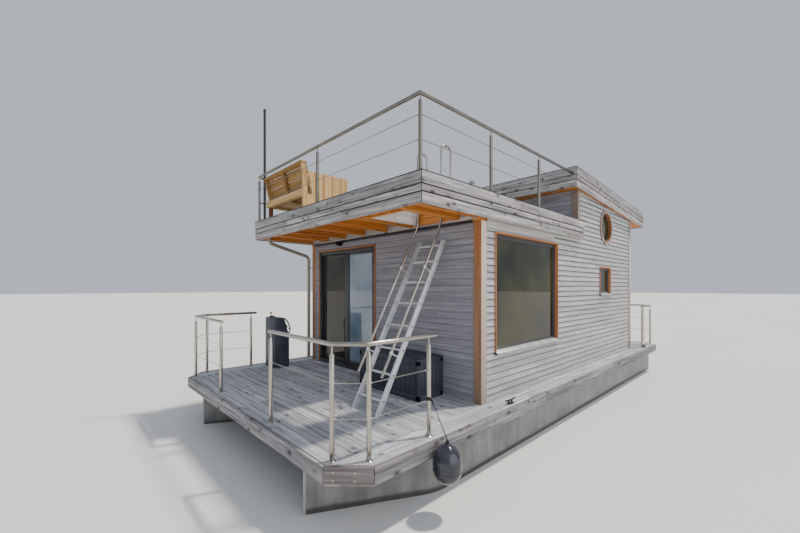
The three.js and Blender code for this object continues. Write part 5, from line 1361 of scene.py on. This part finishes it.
over = deckBox["lidOver"]
lidX0, lidX1, lidY0, lidZ0 = x0 - over, x1 + over, y0 - over, z1 + seat
lid = box((lidX0, lidY0, lidZ0), (lidX1, y1, lidZ0 + 0.022))
top = [face for face in lid.faces if face.normal.z > 0.9]
bmesh.ops.inset_region(lid, faces=top, thickness=0.05, depth=0.0, use_even_offset=True)
bmesh.ops.translate(lid, verts=list({vert for face in top for vert in face.verts}), vec=(0, 0, 0.018))
for thick, deep in ((0.012, 0.0), (0.004, -0.003)):
    bmesh.ops.inset_region(lid, faces=top, thickness=thick, depth=deep, use_even_offset=True)
creases = [edge for edge in lid.edges if edge.calc_face_angle(0) > 0.25]
bmesh.ops.bevel(lid, geom=creases, offset=0.002, offset_type="OFFSET", segments=2, profile=0.5, affect="EDGES",
                material=-1)
ribPitch = (lidX1 - lidX0 - 0.26) / (deckBox["ribs"] - 1)
ribs = [box((x - 0.045, lidY0 + 0.085, lidZ0 + 0.0355), (x + 0.045, y1 - 0.085, lidZ0 + 0.0395), 0.0018, 1)
        for x in (lidX0 + 0.13 + i * ribPitch for i in range(deckBox["ribs"]))]
makePiece("deckBoxLid", [lid] + ribs, moulded, "anthracite_plastic", body="box_lid", replaces=["deck_box_lid"])

# ---- Terrace bench of sawn pine: leaning back, slatted seat, an end panel of upright boards to port
bench = {"x": (-1.915, -0.56), "back": -3.655, "front": -2.8, "seat": 0.42, "panel": 0.74, "lean": 0.23, "foot": -3.499,
         "slats": ((0.37, 0.51), (0.525, 0.665), (0.68, 0.82)), "seatSlats": 6, "endFrom": -3.59, "endPitch": 0.156,
         "endWidth": 0.147, "endBoards": 5, "frameLow": 0.075, "frameTop": 0.029}
(x0, x1), back, front = bench["x"], bench["back"], bench["front"]
floorZ = terrace["floor"] + seat
seatZ, panelZ = floorZ + bench["seat"], floorZ + bench["panel"]
frameZ0, frameZ1 = seatZ - bench["frameLow"], seatZ - bench["frameTop"]


def leaning(a, b, near, far, low, high):  # a board along the leaning back, between two heights above the floor
    profile = [(a, bench["foot"] - bench["lean"] * h + y, floorZ + h)
               for y, h in ((near, low), (far, low), (far, high), (near, high))]
    ways = (1, 0, 0), (0, -bench["lean"], 1)
    part = solid(profile, (b - a, 0, 0), 0.003, 1)
    return grained(part, *(reversed(ways) if high - low > b - a else ways))


backParts = [leaning(x0, x1, 0.0705, 0.095, low, high) for low, high in bench["slats"]]
uprights = [leaning(x, x + 0.045, 0, 0.07, 0.37, 0.8375) for x in (x0, (x0 + x1) / 2 - 0.022, x1 - 0.045)]
backParts += uprights[:2] + [leaning(x0, x1, 0, 0.1, 0.838, 0.878)]
# the back takes the shaded copy of the pine: painted shade
makePiece("terraceBenchBack", backParts, tanPine, "pine")
boards = [((x0, back, frameZ0), (x1 - 0.046, back + 0.04, seatZ + 0.035))]
seatPitch = (front - back - 0.045) / bench["seatSlats"]
for i in range(bench["seatSlats"]):
    y = back + 0.0405 + i * seatPitch
    boards.append(((x0, y + 0.003, seatZ - 0.028), (x1 - 0.046, y + seatPitch - 0.003, seatZ)))
boards += [((x0, y, frameZ0), (x1 - 0.046, y + 0.03, frameZ1)) for y in (back + 0.0405, front - 0.032)]
boards += [((x, back + 0.071, frameZ0), (x + 0.04, front - 0.0325, frameZ1))
           for x in (x0, (x0 + x1) / 2 - 0.02, x1 - 0.087)]
boards.append(((x0, front - 0.07, floorZ), (x0 + 0.045, front - 0.0005, frameZ0 - 0.0005)))
panelY = [bench["endFrom"] + i * bench["endPitch"] for i in range(bench["endBoards"])]
boards += [((x1 - 0.024, y, floorZ), (x1, y + bench["endWidth"], panelZ)) for y in panelY]
boards += [((x1 - 0.0455, bench["endFrom"], floorZ + z), (x1 - 0.0245, front - 0.001, floorZ + z + 0.09))
           for z in (0.1, 0.6)]  # the end panel's two battens, then its corner post
boards.append(((x1 - 0.045, back + 0.001, floorZ), (x1, bench["endFrom"] - 0.004, panelZ)))
makePiece("terraceBenchBoards", uprights[2:] + [boardBox(low, high, 0.003) for low, high in boards], pineBoards, "pine",
          replaces=["terrace_bench"])
legAndShadowStrips = [boardBox((x0, back + 0.0405, floorZ), (x0 + 0.045, back + 0.11, frameZ0 - 0.001), 0.003)]
legAndShadowStrips += [boardBox((x1 - 0.0238, y - 0.0088, floorZ + 0.001), (x1 - 0.009, y - 0.0002, panelZ - 0.002), 0.0005)
         for y in panelY[1:]]  # dark strips in the joints of the end panel: painted shadow between its boards
makePiece("terraceBenchLeg", legAndShadowStrips, brownPine, "pine")  # the rear leg to starboard is of a browner wood
print("deck box and bench built")

# ---- Mast pole by the starboard front rail corner, downpipe, lamp and a roof vent
pole = {"place": (-1.945, -3.675), "post": (-2.02, -3.74), "height": 2.1597, "clamps": (0.42, 0.86),
        "bolts": ((0.032, 0.012), (-0.012, 0.032), (-0.032, -0.012), (0.012, -0.032))}
top, foot = pole["height"], Vector((*pole["place"], floorZ))
profile = [(0, 0), (0.044, 0), (0.044, 0.006), (0.028, 0.008), (0.026, 0.04), (0.0225, 0.042), (0.0225, top - 0.058),
           (0.0262, top - 0.054), (0.0262, top - 0.024), (0.02, top - 0.008), (0.01, top - 0.001), (0, top)]
band = [(0.0226, 0), (0.0262, 0), (0.0262, 0.03), (0.0226, 0.03), (0.0226, 0)]
parts = [turned(profile, 28, Matrix.Translation(foot))]
parts += [boltHead(foot + Vector((x, y, 0.006)), (0, 0, 1), 0.005, 0.004) for x, y in pole["bolts"]]
toPost = Vector((*pole["post"], floorZ)) - foot
away = toPost.normalized()
for z in pole["clamps"]:  # a band round the pole, tied to the corner post of the rail
    start = foot + Vector((0, 0, z + 0.015))
    parts += [turned(band, 28, Matrix.Translation(foot + Vector((0, 0, z)))),
              tube([start + away * 0.025, start + toPost - away * 0.0205], 0.006, 12, 0.001)]
makePiece("mastPole", parts, blackCoat, "black_metal", replaces=["mast_pole"])

pipe = {"radius": 0.032, "line": [(-1.89, -3.615, 3.5297), (-1.89, -3.615, 3.328), (-2.062, -2.712, 3.13),
                                  (-2.062, -2.712, 1.11)], "sleeves": (3.0, 1.115), "clamps": (1.4, 2.9)}
pipeX, pipeY, z = pipe["line"][-1]
sleeve = [(0.032, 0), (0.0345, 0.002), (0.0345, 0.05), (0.032, 0.052), (0.032, 0)]  # where lengths of pipe join
clamp = [(0.0325, 0), (0.0355, 0), (0.0355, 0.026), (0.0325, 0.026), (0.0325, 0)]
parts = [tube(rounded(pipe["line"], 0.09, 8), pipe["radius"], 24, 0.002)]
for rings, profile in ((pipe["sleeves"], sleeve), (pipe["clamps"], clamp)):
    parts += [turned(profile, 24, Matrix.Translation((pipeX, pipeY, z))) for z in rings]
parts += [box((-2.055, -2.69, z + 0.003), (-2.0, -2.6503, z + 0.023), 0.002) for z in pipe["clamps"]]
makePiece("rainPipe", parts, pipeGrey, "zinc", replaces=["downpipe"])

lampPlan = {"place": (-1.01, -2.6433, 3.32), "tilt": 1.2}
x, y, z = lampPlan["place"]
head = Matrix.Translation((x, y - 0.05, z - 0.012)) @ Matrix.Rotation(lampPlan["tilt"] - math.pi, 4, "X")
shade = [(0, 0.045), (0.026, 0.045), (0.03, 0.04), (0.038, -0.045), (0.034, -0.045), (0.030, -0.03), (0, -0.03)]
arms = [tube([(x + side * 0.03, y - 0.01, z), (x + side * 0.034, y - 0.052, z - 0.01)], 0.005, 10) for side in (-1, 1)]
makePiece("doorLamp", [box((x - 0.045, y - 0.015, z - 0.025), (x + 0.045, y, z + 0.025), 0.004),
                       turned(shade, 28, head)] + arms, blackCoat, "black_metal", replaces=["door_lamp"])

vent = {"place": (1.9, -2.67), "pipe": [(0.06, 0), (0.06, 0.004), (0.03, 0.012), (0.022, 0.03), (0.022, 0.205),
                                        (0, 0.205)],
        "hood": [(0, 0.2), (0.03, 0.204), (0.04, 0.212), (0.038, 0.23), (0.02, 0.245), (0, 0.25)]}
place = Matrix.Translation((*vent["place"], terrace["floor"]))
makePiece("terraceVent", [turned(vent[part], 24, place) for part in ("pipe", "hood")], zinc, "zinc")

# ---- Mooring cleats on the side decks
cleat = {"x": 2.235, "rows": (-2.33, 3.9), "necks": (-0.035, 0.035), "neck": [(0.02, 0), (0.013, 0.012), (0.012, 0.04),
                                                                            (0, 0.04)],
         "horn": [(0, -0.11, 0.056), (0, -0.07, 0.05), (0, 0, 0.046), (0, 0.07, 0.05), (0, 0.11, 0.056)],
         "bolts": ((-0.018, -0.05), (0.018, 0.05), (0.018, -0.05), (-0.018, 0.05))}
parts = []
for side in (1, -1):
    for y in cleat["rows"]:
        one = [box((-0.028, -0.06, 0), (0.028, 0.06, 0.008), 0.003)]
        one += [turned(cleat["neck"], 16, Matrix.Translation((0, offset, 0.006))) for offset in cleat["necks"]]
        one.append(tube(smoothLine(cleat["horn"], 4), 0.0105, 14, 0.005))
        one += [boltHead((a, b, 0.0075), (0, 0, 1), 0.005, 0.003, 8) for a, b in cleat["bolts"]]
        place = Matrix.Translation((side * cleat["x"], y, hull["deckTop"]))
        parts += [placed(part, place) for part in one]
makePiece("mooringCleats", parts, blackCoat, "black_metal")
print("fittings mounted")

# ---- Outboard motor in the stern well
motor = {"tiltY": 4.515, "tiltZ": 0.96, "kingpinY": 4.565, "screwZ": 0.22, "screwFront": 4.82}
tiltY, tiltZ = motor["tiltY"], motor["tiltZ"]
sternward = Matrix.Rotation(-math.pi / 2, 4, "X")  # a profile's height runs astern
parts = [box((-0.9497, tiltY - 0.1, 0.56), (0.9497, tiltY - 0.05, 0.898), 0.005)]
parts += [box((x - 0.006, tiltY - 0.104, 0.6), (x + 0.006, tiltY - 0.099, 0.86), 0.001, 1)
          for x in (-0.7, -0.35, 0.35, 0.7)]  # stiffeners on the plate
makePiece("motorTransom", parts, hullSteel, "hull_steel", replaces=["outboard_mount"])
cheek = [(-0.0495, -0.33), (-0.01, -0.33), (0.026, -0.02), (0.026, 0.022), (-0.03, 0.028), (-0.125, -0.04),
         (-0.125, -0.15), (-0.1005, -0.15), (-0.1005, -0.06), (-0.0495, -0.06)]
parts = [solid([(x, tiltY + y, tiltZ + z) for y, z in cheek], (0.015, 0, 0), 0.003, 2) for x in (-0.095, 0.08)]
parts += [boltHead((side * 0.095, tiltY, tiltZ), (side, 0, 0), 0.013, 0.008, 16) for side in (-1, 1)]
parts += [tube([(x, tiltY - 0.124, tiltZ - 0.12), (x, tiltY - 0.155, tiltZ - 0.12)], 0.007, 12, 0.002)
          for x in (-0.0875, 0.0875)]
makePiece("motorClamp", parts, casting, "motor_metal")

kingpin = motor["kingpinY"]
housing = [(0, -0.33), (0.030, -0.33), (0.032, -0.325), (0.032, -0.28), (0.027, -0.26), (0.027, -0.03),
           (0.032, -0.01), (0.032, 0.036), (0.030, 0.04), (0, 0.04)]
web = [(tiltY - 0.005, -0.24), (kingpin, -0.25), (kingpin, 0.01), (tiltY - 0.005, 0.01)]
makePiece("motorSwivel", [
    tube([(-0.0795, tiltY, tiltZ), (0.0795, tiltY, tiltZ)], 0.018, 24, 0.002),
    turned([(r, tiltZ + h) for r, h in housing], 28, Matrix.Translation((0, kingpin, 0))),
    solid([(-0.02, y, tiltZ + z) for y, z in web], (0.04, 0, 0), 0.006, 3)], casting, "motor_metal",
    body="motor_swivel", replaces=["outboard_swivel"])

whole = startPiece()
addPart(whole, box((-0.06, tiltY + 0.015, tiltZ + 0.0403), (0.06, tiltY + 0.3, tiltZ + 0.088), 0.008, 3))
addPart(whole, box((-0.045, tiltY + 0.02, tiltZ - 0.375), (0.045, tiltY + 0.14, tiltZ - 0.3303), 0.008, 3))


# Closed rings, each moved and stretched by its own matrix, bridged from one to the next and capped at both ends
def lofted(places, sides, squared=1.0):
    part = bmesh.new()
    rims = []
    for place in places:
        ring = bmesh.ops.create_circle(part, cap_ends=False, radius=1, segments=sides)["verts"]
        for vert in ring:  # a power below 1 squares the round off
            x, y = vert.co.x, vert.co.y
            vert.co = place @ Vector((math.copysign(abs(x) ** squared, x), math.copysign(abs(y) ** squared, y), 0))
        rims.append(list(dict.fromkeys(edge for vert in ring for edge in vert.link_edges)))
    for a, b in zip(rims, rims[1:]):
        bmesh.ops.bridge_loops(part, edges=a + b)
    for rim in (rims[0], rims[-1]):
        bmesh.ops.edgeloop_fill(part, edges=rim)
    bmesh.ops.recalc_face_normals(part, faces=part.faces[:])
    return part


def motorRings(sections, base):  # each section gives its height, its two ends along the boat and its half width
    return [Matrix.Translation((0, tiltY + (low + high) / 2, base + rise))
            @ Matrix.Diagonal((width, (high - low) / 2, 1, 1)) for rise, low, high, width in sections]


legSections = [(0.060, 0.10, 0.238, 0.037), (-0.20, 0.10, 0.237, 0.037), (-0.50, 0.10, 0.236, 0.036),
               (-0.575, 0.10, 0.232, 0.030), (-0.64, 0.095, 0.228, 0.022), (-0.72, 0.085, 0.230, 0.018),
               (-0.78, 0.095, 0.228, 0.013), (-0.85, 0.11, 0.205, 0.008), (-0.893, 0.13, 0.185, 0.005)]
addPart(whole, lofted(motorRings(legSections, tiltZ), 28))
plate = [(tiltY + 0.06, 0.03), (tiltY + 0.11, 0.055), (tiltY + 0.30, 0.085), (tiltY + 0.34, 0.075)]
plate += [(y, -x) for y, x in reversed(plate)]
addPart(whole, solid([(x, y, tiltZ - 0.59) for y, x in plate], (0, 0, 0.01), 0.003, 2))
pod = [(0, -0.250), (0.014, -0.242), (0.026, -0.215), (0.037, -0.165), (0.0445, -0.100), (0.0455, -0.03),
       (0.0445, 0.02), (0.040, 0.042), (0.036, 0.055), (0, 0.055)]
addPart(whole, turned(pod, 32, Matrix.Translation((0, motor["screwFront"] - 0.0553, motor["screwZ"])) @ sternward))
finishPiece("motorLeg", whole, casting, "motor_metal", body="motor", replaces=["outboard_leg"])

whole = startPiece()
cowlLow = tiltZ + 0.0883
cowlSections = [(0.0, -0.030, 0.345, 0.128), (0.05, -0.046, 0.372, 0.148), (0.11, -0.048, 0.386, 0.150),
                (0.20, -0.047, 0.384, 0.149), (0.27, -0.030, 0.362, 0.140), (0.315, 0.005, 0.330, 0.118),
                (0.338, 0.055, 0.285, 0.078)]
addPart(whole, lofted(motorRings(cowlSections, cowlLow), 40, 0.62))
finishPiece("motorCowl", whole, cowlLacquer, "motor_cowl", body="motor", replaces=["outboard_cowl"], sharp=50)
cowlTrim = {"vents": 4, "ventX": 0.1485, "ventRise": 0.18, "ventPitch": 0.018, "ventHigh": 0.008}
parts = [box((-0.05, tiltY - 0.052, cowlLow + 0.02), (0.05, tiltY - 0.04, cowlLow + 0.06), 0.004)]
for side in (-1, 1):  # vents in the cowl's sides
    for i in range(cowlTrim["vents"]):
        low, high = sorted((side * cowlTrim["ventX"], side * (cowlTrim["ventX"] + 0.002)))
        z = cowlLow + cowlTrim["ventRise"] + i * cowlTrim["ventPitch"]
        parts.append(box((low, tiltY + 0.16, z), (high, tiltY + 0.30, z + cowlTrim["ventHigh"]), 0.0008, 1))
makePiece("motorCowlTrim", parts, casting, "motor_metal", body="motor")

screwPlan = {"blades": 3, "blade": (0.0475, 0.034), "middle": 0.07, "thick": 0.004, "root": 0.95, "twist": 0.45}
hubPlace = Matrix.Translation((0, motor["screwFront"], motor["screwZ"])) @ sternward
parts = [turned([(0, 0), (0.034, 0), (0.035, 0.006), (0.032, 0.05), (0.027, 0.076), (0.018, 0.08), (0, 0.08)], 32,
                hubPlace)]
for i in range(screwPlan["blades"]):
    blade = bmesh.new()
    bmesh.ops.create_circle(blade, cap_ends=True, radius=1, segments=24, matrix=Matrix.Translation(
        (screwPlan["middle"], 0, 0)) @ Matrix.Diagonal((*screwPlan["blade"], 1, 1)))
    made = bmesh.ops.extrude_face_region(blade, geom=blade.faces[:])
    bmesh.ops.translate(blade, verts=newVerts(made), vec=(0, 0, screwPlan["thick"]))
    for vert in blade.verts:  # twist: steep at the hub, flatter at the tip
        angle = screwPlan["root"] - screwPlan["twist"] * (vert.co.x - 0.02) / 0.1
        y, z = vert.co.y, vert.co.z - screwPlan["thick"] / 2
        vert.co.y = y * math.cos(angle) - z * math.sin(angle)
        vert.co.z = y * math.sin(angle) + z * math.cos(angle) + 0.04
    bmesh.ops.recalc_face_normals(blade, faces=blade.faces[:])
    parts.append(placed(blade, hubPlace @ Matrix.Rotation(i * math.tau / screwPlan["blades"], 4, "Z")))
makePiece("motorScrew", parts, casting, "motor_metal", body="screw", replaces=["propeller"])
print("motor hung")
